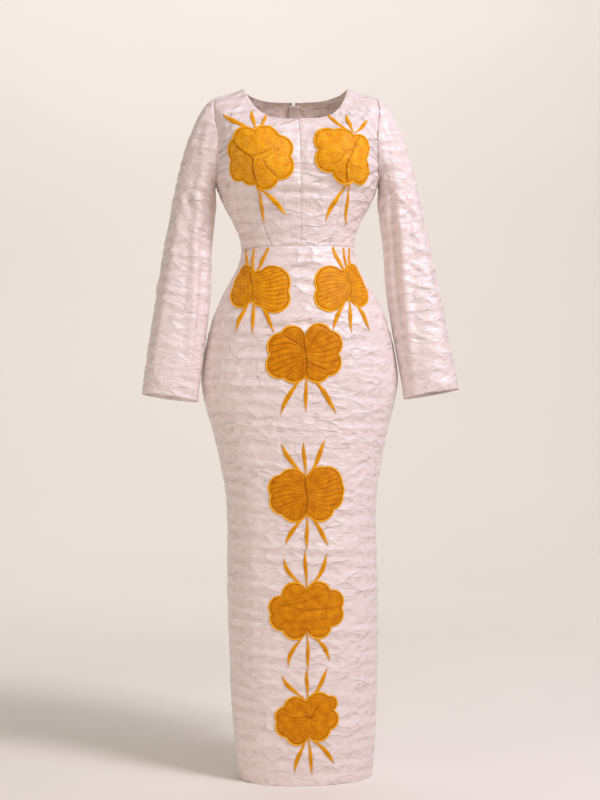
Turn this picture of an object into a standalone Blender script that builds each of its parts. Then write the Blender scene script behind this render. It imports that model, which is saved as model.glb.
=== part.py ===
"""A long fitted dress of stiff white damask, hollow as it is when worn, with satin-edged flowers sewn on.

Sizes below are millimetres. Heights run up from the hem; the part's origin is level with the inner
ends of the shoulder seams, midway between them, where the dress hangs on its wearer. The front looks
along -Y and +X is the viewer's right.
"""

import math

import bmesh
import bpy
import numpy as np
from mathutils import Matrix, Vector
from mathutils.geometry import delaunay_2d_cdt

# Driving dimensions
MM = 0.001
NECK_POINT = 1403.0  # height of the shoulder seams' inner ends
WAIST = 1075.0
UNDERARM = 1205.0
SHOULDER_TIP = 1384.0
NECK_LEVEL = 1446.0  # the neck edge, measured up the side and along the shoulder
WALL = 1.5
SEAM_GAP = 0.3
COLLECTION = "maxi_dress"


def table(names, *rows):
    """Rows of numbers as named columns."""
    columns = np.array(rows, float).T
    return dict(zip(names.split(), columns))


# The body below the armholes: half its width, and its depth before and behind the side seams.
# full is the exponent of the section's oval, 2 for an ellipse.
BODY = table(
    "level half ahead behind full",
    (0, 137, 113, 116, 2.2),
    (28, 140, 114, 117, 2.2),
    (69, 143.5, 115, 118, 2.2),
    (151, 148.5, 116, 120, 2.2),
    (233, 151.5, 117, 122, 2.2),
    (315, 153.5, 118, 124, 2.2),
    (397, 154, 118, 126, 2.2),
    (479, 152.5, 117, 128, 2.2),
    (520, 152, 116, 129, 2.2),
    (561, 154, 116, 131, 2.2),
    (602, 158.5, 116, 133, 2.2),
    (643, 165.5, 116, 136, 2.2),
    (684, 174.5, 117, 139, 2.2),
    (725, 185, 118, 143, 2.2),
    (766, 196, 119, 148, 2.2),
    (807, 202, 119, 151, 2.2),
    (858, 196, 119, 150, 2.2),
    (889, 189.5, 118, 147, 2.2),
    (920, 181, 116, 141, 2.2),
    (946, 172, 112, 133, 2.2),
    (971, 160.5, 107, 123, 2.2),
    (991, 150, 102, 114, 2.2),
    (1012, 138, 97, 104, 2.2),
    (1032, 127, 92, 95, 2.2),
    (1053, 119, 88, 87, 2.2),
    (1075, 116, 85, 82, 2.2),
    (1097, 118, 87, 82, 2.2),
    (1135, 133, 96, 87, 2.2),
    (1176, 155, 106, 94, 2.2),
    (1205, 165, 110, 98, 2.2),
)
# The yoke above them: each level is a loop that lies lower at the centre front and back than at the
# side, so its three heights are given. lift says how late it climbs towards the side.
YOKE = table(
    "level side front back half ahead behind lift",
    (1205, 1205, 1205, 1205, 165, 110, 98, 2),
    (1255, 1257, 1232, 1243, 176, 111, 101, 2),
    (1310, 1318, 1258, 1283, 179, 109, 102, 2),
    (1366, 1375, 1284, 1325, 174, 102, 97, 2.5),
    (1384, 1384, 1294, 1340, 165, 98, 95, 2.8),
    (1415, 1394, 1313, 1366, 135, 87, 84, 3.4),
    (1446, 1403, 1332, 1388, 105, 75, 69, 4),
)
# The bust, shaped by the seams over it.
BUST = {"apart": 93.0, "height": 1240.0, "out": 23.0, "across": 60.0, "above": 66.0, "below": 46.0}
# The largest folds of the cloth: where each lies, how its line slopes, its reach each way along and
# across that line, and how far it stands out, or sinks where negative.
FOLDS = table(
    "round level slope run wide out",
    (-24, 1050, 6, 60, 9, 3.0),
    (20, 1046, -4, 55, 9, 2.6),
    (-4, 1026, 3, 60, 10, -2.4),
    (-44, 925, -28, 60, 14, 3.2),
    (46, 930, 24, 55, 14, 3.0),
    (-2, 958, 2, 60, 13, -2.6),
    (62, 610, 14, 70, 17, 3.0),
    (-60, 640, -12, 70, 17, 2.8),
    (30, 470, 8, 60, 18, 2.4),
    (-34, 395, -7, 60, 18, 2.2),
    (48, 300, 10, 60, 18, 2.4),
    (-50, 200, -8, 60, 18, 2.2),
    (40, 110, 9, 60, 18, 2.2),
    (150, 1040, 6, 60, 10, 3.0),
    (-152, 1036, -5, 60, 10, 2.8),
    (140, 640, 10, 70, 18, 3.2),
    (-142, 610, -9, 70, 18, 3.0),
    (128, 930, -20, 60, 15, 3.0),
    (-130, 935, 18, 60, 15, 3.0),
    (24, 1100, -5, 40, 8, 2.2),
    (-22, 1112, 6, 40, 8, 2.2),
)
# The sleeve below its cap: the middle of each section, and its half width and half depth.
ARM = table(
    "height across back half deep",
    (1168, 210, 2, 44, 47),
    (1133, 216, 3, 45.5, 48),
    (1097, 222, 3, 47, 48.5),
    (1060, 227, 1, 49.5, 48.5),
    (1030, 230, -3, 52.5, 48),
    (1000, 233, -8, 54.5, 47.5),
    (970, 237, -13, 55.5, 47),
    (937, 242, -18, 56, 46),
    (904, 247, -23, 56.5, 45),
    (870, 252, -28, 56.5, 44),
    (838, 257, -32, 56.5, 43),
    (806, 262, -35, 56.5, 42),
    (774, 266, -38, 56.5, 41),
)
ARMHOLE = {"front": 28.0, "back": 27.0}  # its reach round the body each way from the side, in degrees
ARMHOLE_GAP = 0.4
RING = 20  # points round a sleeve and its armhole
CAP = {"rows": 6, "slope": 0.5, "leave_low": 20, "leave_top": 150, "meet_low": 40, "meet_top": 110}
CUFF_TILT = 0.03  # how much lower than square the cuff hangs at its inner side

# The princess seam, from the waist over the bust to the front of the armhole.
PRINCESS = table(
    "across height",
    (58, 1075),
    (74, 1120),
    (84, 1170),
    (90, 1215),
    (97, 1246),
    (116, 1270),
    (138, 1284),
)
CENTRE_BREAK = 1322.0  # the centre front's level beside the princess seam's upper end
SEAM_ROWS, BACK_ROWS = 9, 7  # rows up the princess seam, and up the back's side seam
NECK_COLUMNS, SHOULDER_COLUMNS = 5, 3
SKIRT_STEP = 42.0  # the most between two rows of the skirt
SKIRT_COLUMNS = 20

# The centre back: half the zip's opening, its ends, its tape and coil, and the walking slit below.
ZIP = {"half_gap": 2.6, "end": 920.0, "top": 1439.0, "rows": 22}
TAPE = {"half": 12.0, "behind": 2.6, "thick": 0.8, "coil": 2.2}
SLIT = {"top": 430.0, "half_gap": 11.0}
# The slider stands on the coil and holds the pull tab's bar under its bridge.
SLIDER = {"level": 1428.0, "off": 0.45, "half": 3.8, "tall": 11.0, "thick": 1.6, "corner": 2.2}
BRIDGE = {"low": -2.7, "high": 4.7, "thick": 1.0, "rise": 5.6, "half": 0.8, "chamfer": 0.6}
PULL = {"up": 1.0, "out": 3.45, "thick": 1.0, "bar": 0.8, "hole": 4.5, "hole_half": 1.4, "long": 24.0}
PULL_SHAPE = {"half": 2.3, "corner": 0.5, "neck": 5.5, "widest": 16.8, "end": 3.2, "eyelet": 1.1}

# Applique: satin over a stiffened backing. Leaves spring from beneath the flower's edge, tuck deep,
# with their roots drawn together by gather; a leaf between two others is longer.
APPLIQUE = {"thick": 1.3, "leaf": 8.5, "tuck": 9.0, "gather": 0.16, "longer": 4.0, "inset": 0.35}
LEAF = table("along half", (0, 0.265), (0.3, 0.265), (0.62, 0.5), (1, 0))
# lift is how far a flower lies off the cloth's smooth face, and step how far apart its inner points
# are: both allow for the flat faces of the two solids, which bend most over the bust.
FLAT_FRONT = {"lift": 0.95, "step": 21.0}
ROUND_HIP = {"lift": 1.4, "step": 18.0}
OVER_BUST = {"lift": 1.6, "step": 15.0}
# lobes: scallops all round; notch: their depth as a share of the radius; pinch: how far the top and
# the bottom are drawn in; above and below: how far across each leaf tip lies; up and down: how far
# the tips reach past the flower's edge.
FLOWERS = {
    "flower_bust_l": dict(x=-82, h=1252, w=146, t=128, lobes=8, notch=0.13, pinch=0.0, turn=10,
                          above=(-57, 8, 36), up=34, below=(12, 50), down=58, seat=OVER_BUST),
    "flower_bust_r": dict(x=87, h=1256, w=126, t=116, lobes=7, notch=0.13, pinch=0.0, turn=-8,
                          above=(-45, -8, 32), up=34, below=(-42, -2), down=62, seat=OVER_BUST),
    "flower_hip_l": dict(x=-95, h=996, w=152, t=100, lobes=6, notch=0.12, pinch=0.16, turn=0,
                         above=(-22, -2, 24), up=24, below=(-42, -4, 28), down=43, seat=ROUND_HIP),
    "flower_hip_r": dict(x=98, h=994, w=150, t=100, lobes=6, notch=0.12, pinch=0.16, turn=0,
                         above=(-24, 2, 22), up=24, below=(-26, 4, 46), down=43, seat=ROUND_HIP),
    "flower_centre_1": dict(x=3, h=859, w=152, t=118, lobes=6, notch=0.13, pinch=0.2, turn=0,
                            above=(), up=0, below=(-50, 0, 62), down=60, seat=FLAT_FRONT),
    "flower_centre_2": dict(x=2, h=580, w=152, t=110, lobes=6, notch=0.11, pinch=0.2, turn=0,
                            above=(-50, -2, 40), up=54, below=(-44, 2, 42), down=50, seat=FLAT_FRONT),
    "flower_centre_3": dict(x=-1, h=349, w=152, t=116, lobes=8, notch=0.13, pinch=0.0, turn=22,
                            above=(-46, 0, 42), up=48, below=(-40, 2, 44), down=50, seat=FLAT_FRONT),
    "flower_centre_4": dict(x=-2, h=133, w=130, t=108, lobes=7, notch=0.12, pinch=0.0, turn=12,
                            above=(-52, 0, 40), up=41, below=(-30, 6, 52), down=52, seat=FLAT_FRONT),
}
SCALLOP = {"points": 4, "fullness": 0.7, "pinch_width": 0.32}

COLOURS = {
    "damask": ((0.80, 0.70, 0.68), 0.45, 0.0),
    "satin": ((0.72, 0.26, 0.01), 0.35, 0.0),
    "tape": ((0.82, 0.76, 0.72), 0.8, 0.0),
    "metal": ((0.78, 0.78, 0.76), 0.3, 1.0),
}


def smooth(xs, ys, at):
    """A cubic curve through points, with each slope taken from the points beside it."""
    slope = np.gradient(ys, xs)
    i = np.clip(np.searchsorted(xs, at, side="right") - 1, 0, len(xs) - 2)
    wide = xs[i + 1] - xs[i]
    t = np.clip((at - xs[i]) / wide, 0, 1)
    near = (1 + 2 * t) * (1 - t) ** 2 * ys[i] + t**2 * (3 - 2 * t) * ys[i + 1]
    return near + wide * t * (1 - t) * ((1 - t) * slope[i] - t * slope[i + 1])


def section(column, level):
    """A column of the two tables as one smooth curve up the dress."""
    xs = np.concatenate([BODY["level"], YOKE["level"][1:]])
    if column == "full":
        ys = np.concatenate([BODY["full"], np.full(len(YOKE["level"]) - 1, BODY["full"][-1])])
    elif column in BODY:
        ys = np.concatenate([BODY[column], YOKE[column][1:]])
    elif column == "lift":
        ys = np.concatenate([np.full(len(BODY["level"]), YOKE["lift"][0]), YOKE["lift"][1:]])
    else:
        ys = np.concatenate([BODY["level"], YOKE[column][1:]])
    return smooth(xs, ys, level)


def bust(across, height):
    """How far the bust stands out of the plain oval."""
    above = height - BUST["height"]
    up = above / np.where(above > 0, BUST["above"], BUST["below"])
    side = (np.abs(across) - BUST["apart"]) / BUST["across"]
    return BUST["out"] * np.exp(-side**2 - up**2)


def folds(around, level):
    """How far the folds move the cloth outwards."""
    out = 0.0
    for i in range(len(FOLDS["round"])):
        along = np.radians(around - FOLDS["round"][i]) * section("half", FOLDS["level"][i])
        rise = level - FOLDS["level"][i]
        slope = math.radians(FOLDS["slope"][i])
        run = along * math.cos(slope) + rise * math.sin(slope)
        off = rise * math.cos(slope) - along * math.sin(slope)
        reach = (run / FOLDS["run"][i]) ** 2 + (off / FOLDS["wide"][i]) ** 2
        out = out + FOLDS["out"][i] * np.exp(-reach)
    return out


def height_of(around, level):
    """How high a level lies there: the yoke's levels climb from the centre towards the side."""
    sin, cos = np.sin(np.radians(around)), np.cos(np.radians(around))
    centre = np.where(cos > 0, section("front", level), section("back", level))
    return centre + (section("side", level) - centre) * np.abs(sin) ** section("lift", level)


def body(around, level):
    """A point of the dress's outer face, so many degrees round from the centre front."""
    sin, cos = np.sin(np.radians(around)), np.cos(np.radians(around))
    full = section("full", level)
    size = (np.abs(sin) ** full + np.abs(cos) ** full) ** (-1 / full)
    height = height_of(around, level)
    depth = np.where(cos > 0, section("ahead", level), section("behind", level))
    fold = folds(around, level)
    x = section("half", level) * size * sin + fold * sin
    y = -depth * size * cos - fold * cos - np.where(cos > 0, bust(x, height), 0)
    return np.stack([x, y, height], axis=-1)


def skin(around, level):
    """Points of the outer face, and the directions straight out of it."""
    around, level = np.broadcast_arrays(np.asarray(around, float), np.asarray(level, float))
    turn, rise = 0.2, 1.0
    round_it = body(around + turn, level) - body(around - turn, level)
    up = body(around, level + rise) - body(around, level - rise)
    out = np.cross(round_it, up)
    return body(around, level), out / np.linalg.norm(out, axis=-1, keepdims=True)


def angle_at(across, level):
    """The degrees round from the centre front at which a level is so far across."""
    full = section("full", level)
    share = np.clip(np.abs(across) / section("half", level), 0, 1 - 1e-9) ** full
    return np.sign(across) * np.degrees(np.arctan((share / (1 - share)) ** (1 / full)))


def level_at(around, height):
    """The level that lies at a height: around gives the angle, or finds it for each level."""
    low = np.zeros_like(height)
    high = np.full_like(height, NECK_LEVEL)
    for _ in range(40):
        level = (low + high) / 2
        angle = around(level) if callable(around) else around
        under = height_of(angle, level) < height
        low, high = np.where(under, level, low), np.where(under, high, level)
    return level


def locate(across, height):
    """The angle and the level of a place on the front, given as the front view shows it."""
    level = level_at(lambda found: angle_at(across, found), height)
    return angle_at(across, level), level


def laid(flat, across, height):
    """Angles and levels of a flat piece's points, laid on the front round one place of it."""
    rise = height + flat[:, 1]
    start, _ = locate(np.full(len(flat), float(across)), rise)
    turn = np.linspace(-88, 88, 89)
    grid, rises = np.broadcast_arrays(turn[None], rise[:, None])
    line = body(grid, level_at(grid, rises))
    steps = np.linalg.norm(np.diff(line, axis=1), axis=2)
    run = np.concatenate([np.zeros((len(flat), 1)), np.cumsum(steps, axis=1)], axis=1)
    goal = [np.interp(a, turn, along) for a, along in zip(start, run)] + flat[:, 0]
    around = np.array([np.interp(x, along, turn) for x, along in zip(goal, run)])
    return around, level_at(around, rise)


def spaced(curve, count):
    """A smooth line through a curve's points, as count + 1 points evenly along it."""
    along = np.concatenate([[0], np.cumsum(np.linalg.norm(np.diff(curve, axis=0), axis=1))])
    at = np.linspace(0, along[-1], count + 1)
    return np.stack([smooth(along, curve[:, k], at) for k in range(curve.shape[1])], axis=1)


def beside(curve, gap):
    """A flat curve moved sideways, to its right as it runs where gap is positive."""
    run = np.gradient(curve, axis=0)
    run /= np.linalg.norm(run, axis=1, keepdims=True)
    return curve + gap * np.stack([run[:, 1], -run[:, 0]], axis=1)


def armhole(turn, share=1.0):
    """Angle and level round the armhole: turn 0 at the underarm, 90 in front, 180 at the shoulder."""
    turn = np.radians(turn)
    middle, half = (UNDERARM + SHOULDER_TIP) / 2, (SHOULDER_TIP - UNDERARM) / 2
    reach = np.where(np.sin(turn) > 0, ARMHOLE["front"], ARMHOLE["back"])
    around = 90 - share * reach * np.sin(turn)
    return np.stack([around, middle - share * half * np.cos(turn)], axis=-1)


def patch(bottom, top, left, right, fade=4):
    """The grid of angles and levels between four edges that meet at their ends.

    Its rows run straight from left to right, and bend to the bottom's and the top's shape near them.
    """
    s = np.linspace(0, 1, len(bottom))[None, :, None]
    t = np.linspace(0, 1, len(left))[:, None, None]
    rows = (1 - s) * left[:, None] + s * right[:, None]
    low = bottom - ((1 - s) * bottom[0] + s * bottom[-1])
    high = top - ((1 - s) * top[0] + s * top[-1])
    return rows + (1 - t) ** fade * low + t**fade * high


def collection(name):
    found = bpy.data.collections.new(name)
    bpy.context.scene.collection.children.link(found)
    return found


def material(name):
    colour, roughness, metallic = COLOURS[name]
    made = bpy.data.materials.get(name)
    if made is None:
        made = bpy.data.materials.new(name)
        made.use_nodes = True
        shader = made.node_tree.nodes["Principled BSDF"]
        shader.inputs["Base Color"].default_value = (*colour, 1)
        shader.inputs["Roughness"].default_value = roughness
        shader.inputs["Metallic"].default_value = metallic
    return made


def add(name, bm, kind):
    """A finished mesh as a named object, its faces turned out."""
    bmesh.ops.recalc_face_normals(bm, faces=bm.faces)
    mesh = bpy.data.meshes.new(name)
    bm.to_mesh(mesh)
    bm.free()
    mesh.shade_smooth()
    mesh.set_sharp_from_angle(angle=math.radians(35))
    mesh.materials.append(material(kind))
    made = bpy.data.objects.new(name, mesh)
    parts.objects.link(made)
    return made


def placed(point):
    """Millimetres from the hem's floor as metres from the origin."""
    return (point[0] * MM, point[1] * MM, (point[2] - NECK_POINT) * MM)


def wall(name, outer, inner, kind="damask", closed=False):
    """Cloth between two grids of points. A closed one runs round as a tube."""
    rows, columns = outer.shape[:2]
    bm = bmesh.new()
    faces = {}
    for key, grid in (("out", outer), ("in", inner)):
        faces[key] = [[bm.verts.new(placed(p)) for p in row] for row in grid]
    last = columns if closed else columns - 1
    for i in range(rows - 1):
        for j in range(last):
            k = (j + 1) % columns
            for v in faces.values():
                bm.faces.new((v[i][j], v[i][k], v[i + 1][k], v[i + 1][j]))
    o, n = faces["out"], faces["in"]
    for i in (0, rows - 1):
        for j in range(last):
            k = (j + 1) % columns
            bm.faces.new((o[i][j], o[i][k], n[i][k], n[i][j]))
    if not closed:
        for j in (0, columns - 1):
            for i in range(rows - 1):
                bm.faces.new((o[i][j], o[i + 1][j], n[i + 1][j], n[i][j]))
    return add(name, bm, kind)


def panel(name, grid, side=1):
    """A piece of cloth on the body, from its grid of angles and levels."""
    outer, out = skin(side * grid[..., 0], grid[..., 1])
    return wall(name, outer, outer - WALL * out)


def hoop_edge(start, end, level, count):
    """An edge that runs round the body at one level."""
    around = np.linspace(start, end, count + 1)
    return np.stack([around, np.full(count + 1, float(level))], axis=1)


def side_seam(levels, gap):
    """The side seam's angles at those levels, a little before or behind it."""
    return np.stack([90 - np.degrees(gap / section("ahead", levels)), levels], axis=1)


def back_edge(levels):
    """The centre back's edge: open for the zip, closed below it, and parted at the walking slit."""
    slit = np.clip((SLIT["top"] - levels) / SLIT["top"], 0, 1) * SLIT["half_gap"]
    half = np.where(levels >= ZIP["end"], ZIP["half_gap"], SEAM_GAP / 2 + slit)
    return np.stack([180 - angle_at(half, levels), levels], axis=1)


def skirt_rows():
    """Levels from the hem to the waist: those of the table, with more where they lie far apart."""
    levels = BODY["level"][BODY["level"] <= WAIST]
    rows = [0.0]
    for low, high in zip(levels[:-1], levels[1:]):
        steps = math.ceil((high - low) / SKIRT_STEP)
        rows.extend(low + (high - low) * (i + 1) / steps for i in range(steps))
    rows[-1] = WAIST - SEAM_GAP / 2
    return np.array(rows)


def make_skirt():
    """One front panel, and two back panels that meet at the zip, the seam and the slit."""
    levels = skirt_rows()
    right = side_seam(levels, SEAM_GAP / 2)
    left = right * (-1, 1)
    share = np.linspace(0, 1, SKIRT_COLUMNS + 1)[None, :, None]
    panel("skirt_front", left[:, None] * (1 - share) + right[:, None] * share)
    share = np.linspace(0, 1, SKIRT_COLUMNS // 2 + 1)[None, :, None]
    before = side_seam(levels, -SEAM_GAP / 2)
    for name, side in (("skirt_back_l", -1), ("skirt_back_r", 1)):
        panel(name, before[:, None] * (1 - share) + back_edge(levels)[:, None] * share, side)


def princess_seam(gap):
    """The seam over the bust as angles and levels, moved sideways by gap."""
    end = body(*armhole(90.0))[[0, 2]]
    line = np.concatenate([np.stack([PRINCESS["across"], PRINCESS["height"]], axis=1), [end]])
    line = beside(spaced(line, SEAM_ROWS), gap)
    line[0, 1] = WAIST + SEAM_GAP / 2
    return np.stack(locate(line[:, 0], line[:, 1]), axis=1)


def shoulder_edge(gap):
    """From the neck point out to the shoulder's tip, before or behind the seam."""
    levels = np.linspace(NECK_LEVEL, SHOULDER_TIP, SHOULDER_COLUMNS + 1)
    return side_seam(levels, gap)


def yoke_piece(centre, seam, hole, shoulder):
    """A piece from the waist to the neck and shoulder, which ends at a seam and the armhole above it."""
    neck = hoop_edge(centre[-1, 0], shoulder[0, 0], NECK_LEVEL, NECK_COLUMNS)
    top = np.concatenate([neck[:-1], shoulder])
    hole[-1] = shoulder[-1]
    side = np.concatenate([seam, hole[1:]])
    bottom = hoop_edge(centre[0, 0], seam[0, 0], seam[0, 1], len(top) - 1)
    return patch(bottom, top, centre, side)


def make_bodice():
    """Centre front, side front and back, cut and joined at the princess, side and shoulder seams."""
    low = WAIST + SEAM_GAP / 2
    quarter = RING // 4

    # The side front lies between the princess seam and the side seam, under the front of the armhole.
    right = side_seam(np.linspace(low, UNDERARM, SEAM_ROWS + 1), SEAM_GAP / 2)
    left = princess_seam(SEAM_GAP / 2)
    bottom = hoop_edge(left[0, 0], right[0, 0], low, quarter)
    side_front = patch(bottom, armhole(np.linspace(90, 0, quarter + 1)), left, right)

    # The centre front runs up to the neck and the shoulder, beside the armhole's upper front.
    hole = armhole(np.linspace(90, 180, quarter + 1))
    seam = princess_seam(-SEAM_GAP / 2)
    lower = np.linspace(low, CENTRE_BREAK, SEAM_ROWS + 1)
    levels = np.concatenate([lower, np.linspace(CENTRE_BREAK, NECK_LEVEL, quarter + 1)[1:]])
    centre = np.stack([angle_at(SEAM_GAP / 2, levels), levels], axis=1)
    centre_front = yoke_piece(centre, seam, hole, shoulder_edge(SEAM_GAP / 2))

    # The back runs from the zip to the side seam and the back of the armhole.
    hole = armhole(np.linspace(360, 180, 2 * quarter + 1))
    seam = side_seam(np.linspace(low, UNDERARM, BACK_ROWS + 1), -SEAM_GAP / 2)
    centre = back_edge(np.linspace(low, NECK_LEVEL, BACK_ROWS + 2 * quarter + 1))
    back = yoke_piece(centre, seam, hole, shoulder_edge(-SEAM_GAP / 2))

    for letter, side in (("l", -1), ("r", 1)):
        panel("bodice_front_" + letter, centre_front, side)
        panel("bodice_side_" + letter, side_front, side)
        panel("bodice_back_" + letter, back, side)


def arm_rings(turns):
    """The sleeve's sections below its cap, square to its own line."""
    middle = np.stack([ARM["across"], ARM["back"], ARM["height"]], axis=1)
    run = np.gradient(middle, axis=0)
    run /= np.linalg.norm(run, axis=1, keepdims=True)
    outwards = np.stack([-run[:, 2], np.zeros(len(run)), run[:, 0]], axis=1)
    outwards[-1, 2] += CUFF_TILT
    ahead = np.cross(outwards, run)
    ahead *= -np.sign(ahead[:, 1:2])
    sin, cos = np.sin(np.radians(turns)), np.cos(np.radians(turns))
    rings = middle[:, None] - outwards[:, None] * (ARM["half"][:, None] * cos)[..., None]
    return rings + ahead[:, None] * (ARM["deep"][:, None] * sin)[..., None], run


def make_sleeve(name, side):
    """One tube: a cap that turns from the armhole down into the arm, then the arm to the cuff."""
    turns = np.arange(RING) * 360 / RING
    shrink = 1 - ARMHOLE_GAP / ((SHOULDER_TIP - UNDERARM) / 2)
    edge = armhole(turns, shrink)
    start = body(side * edge[:, 0], edge[:, 1]) * (side, 1, 1)
    rings, run = arm_rings(turns)
    high = (1 - np.cos(np.radians(turns))) / 2
    leave = CAP["leave_low"] + (CAP["leave_top"] - CAP["leave_low"]) * high
    meet = CAP["meet_low"] + (CAP["meet_top"] - CAP["meet_low"]) * high
    outwards = np.stack([np.ones(RING), np.zeros(RING), -CAP["slope"] * high], axis=1)
    t = (np.arange(CAP["rows"]) / CAP["rows"])[:, None, None]
    cap = (1 + 2 * t) * (1 - t) ** 2 * start + t**2 * (3 - 2 * t) * rings[0]
    cap = cap + t * (1 - t) ** 2 * leave[:, None] * outwards - t**2 * (1 - t) * meet[:, None] * run[0]
    outer = np.concatenate([cap, rings]) * (side, 1, 1)
    round_it = np.roll(outer, -1, axis=1) - np.roll(outer, 1, axis=1)
    out = np.cross(np.gradient(outer, axis=0), round_it) * side
    out /= np.linalg.norm(out, axis=-1, keepdims=True)
    wall(name, outer, outer - WALL * out, closed=True)


def leaf_outline(root, tip, wide):
    """A slim leaf: a thin stem that widens past its middle and ends in a point."""
    along = tip - root
    across = np.array([-along[1], along[0]]) / np.linalg.norm(along)
    half = [root + share * along + wide * off * across for share, off in zip(LEAF["along"], LEAF["half"])]
    other = [root + share * along - wide * off * across for share, off in zip(LEAF["along"], LEAF["half"])]
    return half + other[-2::-1]


def flower_outline(flower):
    """Scallops round an oval, drawn in at the top and the bottom where it is pinched."""
    count = flower["lobes"] * SCALLOP["points"]
    turn = 2 * math.pi * np.arange(count) / count
    scallop = np.abs(np.sin(flower["lobes"] * turn / 2)) ** SCALLOP["fullness"]
    size = 1 - flower["notch"] * (1 - scallop)
    turn = turn + math.radians(flower["turn"])
    size *= 1 - flower["pinch"] * np.exp(-((np.cos(turn) / SCALLOP["pinch_width"]) ** 2))
    return np.stack([flower["w"] / 2 * size * np.cos(turn), flower["t"] / 2 * size * np.sin(turn)], axis=1)


def inside(point, outline):
    """Whether a flat point lies within a closed outline."""
    crossings = 0
    for a, b in zip(outline, np.roll(outline, -1, axis=0)):
        if (a[1] > point[1]) != (b[1] > point[1]):
            crossings += point[0] < a[0] + (point[1] - a[1]) * (b[0] - a[0]) / (b[1] - a[1])
    return crossings % 2 == 1


def make_flower(name, flower):
    """A flower and its leaves as one piece of stiffened satin, laid on the front and moved out."""
    outline = flower_outline(flower)
    shapes = [outline]
    for tips, way, far in ((flower["above"], 1, flower["up"]), (flower["below"], -1, flower["down"])):
        edge = flower["t"] / 2 * (1 - flower["pinch"])
        for tip in tips:
            longer = APPLIQUE["longer"] if tip in tips[1:-1] else 0
            root = np.array([tip * APPLIQUE["gather"], way * (edge - APPLIQUE["tuck"])])
            end = np.array([tip, way * (flower["t"] / 2 + far + longer)])
            shapes.append(np.array(leaf_outline(root, end, APPLIQUE["leaf"])))
    points = [p for shape in shapes for p in shape]
    faces, start = [], 0
    for shape in shapes:
        faces.append(list(range(start, start + len(shape))))
        start += len(shape)
    step, lift = flower["seat"]["step"], flower["seat"]["lift"]
    row, reach = step * math.sqrt(3) / 2, int(flower["w"] / step)
    for i in range(-reach, reach + 1):
        for j in range(-reach, reach + 1):
            spot = np.array([(i + 0.5 * (j % 2)) * step, j * row])
            if inside(spot, outline * (1 - APPLIQUE["inset"] * step / flower["t"])):
                points.append(spot)
    flat, _, triangles, *_ = delaunay_2d_cdt([tuple(p) for p in points], [], faces, 1, 1e-4)
    used = sorted({i for triangle in triangles for i in triangle})
    number = {old: new for new, old in enumerate(used)}
    flat = np.array([tuple(flat[i]) for i in used])
    triangles = [[number[i] for i in triangle] for triangle in triangles]
    spots, out = skin(*laid(flat, flower["x"], flower["h"]))
    bm = bmesh.new()
    low = [bm.verts.new(placed(p)) for p in spots + lift * out]
    high = [bm.verts.new(placed(p)) for p in spots + (lift + APPLIQUE["thick"]) * out]
    for a, b, c in triangles:
        bm.faces.new((high[a], high[b], high[c]))
        bm.faces.new((low[c], low[b], low[a]))
    below = dict(zip(high, low))
    for a, b in [e.verts for e in bm.edges if len(e.link_faces) == 1 and e.verts[0] in below]:
        bm.faces.new((a, b, below[b], below[a]))
    add(name, bm, "satin")


def make_zip_tape():
    """The closed zip's tape behind the back's two edges, with its coil raised between them."""
    deep = -(TAPE["behind"] + TAPE["thick"])
    shape = (
        (-TAPE["half"], deep),
        (TAPE["half"], deep),
        (TAPE["half"], -TAPE["behind"]),
        (TAPE["coil"], -TAPE["behind"]),
        (TAPE["coil"], 0),
        (-TAPE["coil"], 0),
        (-TAPE["coil"], -TAPE["behind"]),
        (-TAPE["half"], -TAPE["behind"]),
    )
    bm = bmesh.new()
    rings = []
    for level in np.linspace(ZIP["end"] + 2, ZIP["top"], ZIP["rows"]):
        across = np.array([x for x, _ in shape])
        spots, out = skin(180 - angle_at(across, np.full(len(shape), level)), level)
        away = np.array([[depth] for _, depth in shape])
        rings.append([bm.verts.new(placed(p)) for p in spots + away * out])
    for low, high in zip(rings[:-1], rings[1:]):
        for j in range(len(shape)):
            k = (j + 1) % len(shape)
            bm.faces.new((low[j], low[k], high[k], high[j]))
    bm.faces.new(rings[0])
    bm.faces.new(rings[-1])
    add("zip_tape", bm, "tape")


def back_frame():
    """The slider's place on the coil: the ways to the left, up the back and straight out, as a matrix."""
    spot, out = skin(180.0, SLIDER["level"])
    out = Vector(out)
    left = Vector((-1, 0, 0))
    up = out.cross(left).normalized()
    turn = Matrix((left, up, out)).transposed().to_4x4()
    return Matrix.Translation(Vector(placed(spot))) @ turn


def slab(name, outlines, thick):
    """A flat piece of closed outlines, the second a hole in the first, as a mesh round its own plane."""
    curve = bpy.data.curves.new(name, "CURVE")
    curve.dimensions = "2D"
    curve.fill_mode = "BOTH"
    curve.extrude = thick * MM / 2
    for outline in outlines:
        spline = curve.splines.new("POLY")
        spline.points.add(len(outline) - 1)
        for point, (x, y) in zip(spline.points, outline):
            point.co = (x * MM, y * MM, 0, 1)
        spline.use_cyclic_u = True
    flat = bpy.data.objects.new(name, curve)
    bpy.context.scene.collection.objects.link(flat)
    seen = flat.evaluated_get(bpy.context.evaluated_depsgraph_get())
    mesh = bpy.data.meshes.new_from_object(seen)
    bpy.data.objects.remove(flat)
    bm = bmesh.new()
    bm.from_mesh(mesh)
    bmesh.ops.remove_doubles(bm, verts=bm.verts, dist=0.001 * MM)
    bmesh.ops.recalc_face_normals(bm, faces=bm.faces)
    bm.to_mesh(mesh)
    bm.free()
    return mesh


def rounded(half, low, high, corner=0, steps=4):
    """A rectangle about the middle line with round corners."""
    points = []
    for x, y, start in ((half, high, 0), (-half, high, 90), (-half, low, 180), (half, low, 270)):
        for i in range(steps + 1):
            turn = math.radians(start + 90 * i / max(steps, 1))
            away_x = corner * (math.cos(turn) - math.copysign(1, x))
            away_y = corner * (math.sin(turn) - (1 if y == high else -1))
            points.append((x + away_x, y + away_y))
    return points


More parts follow.
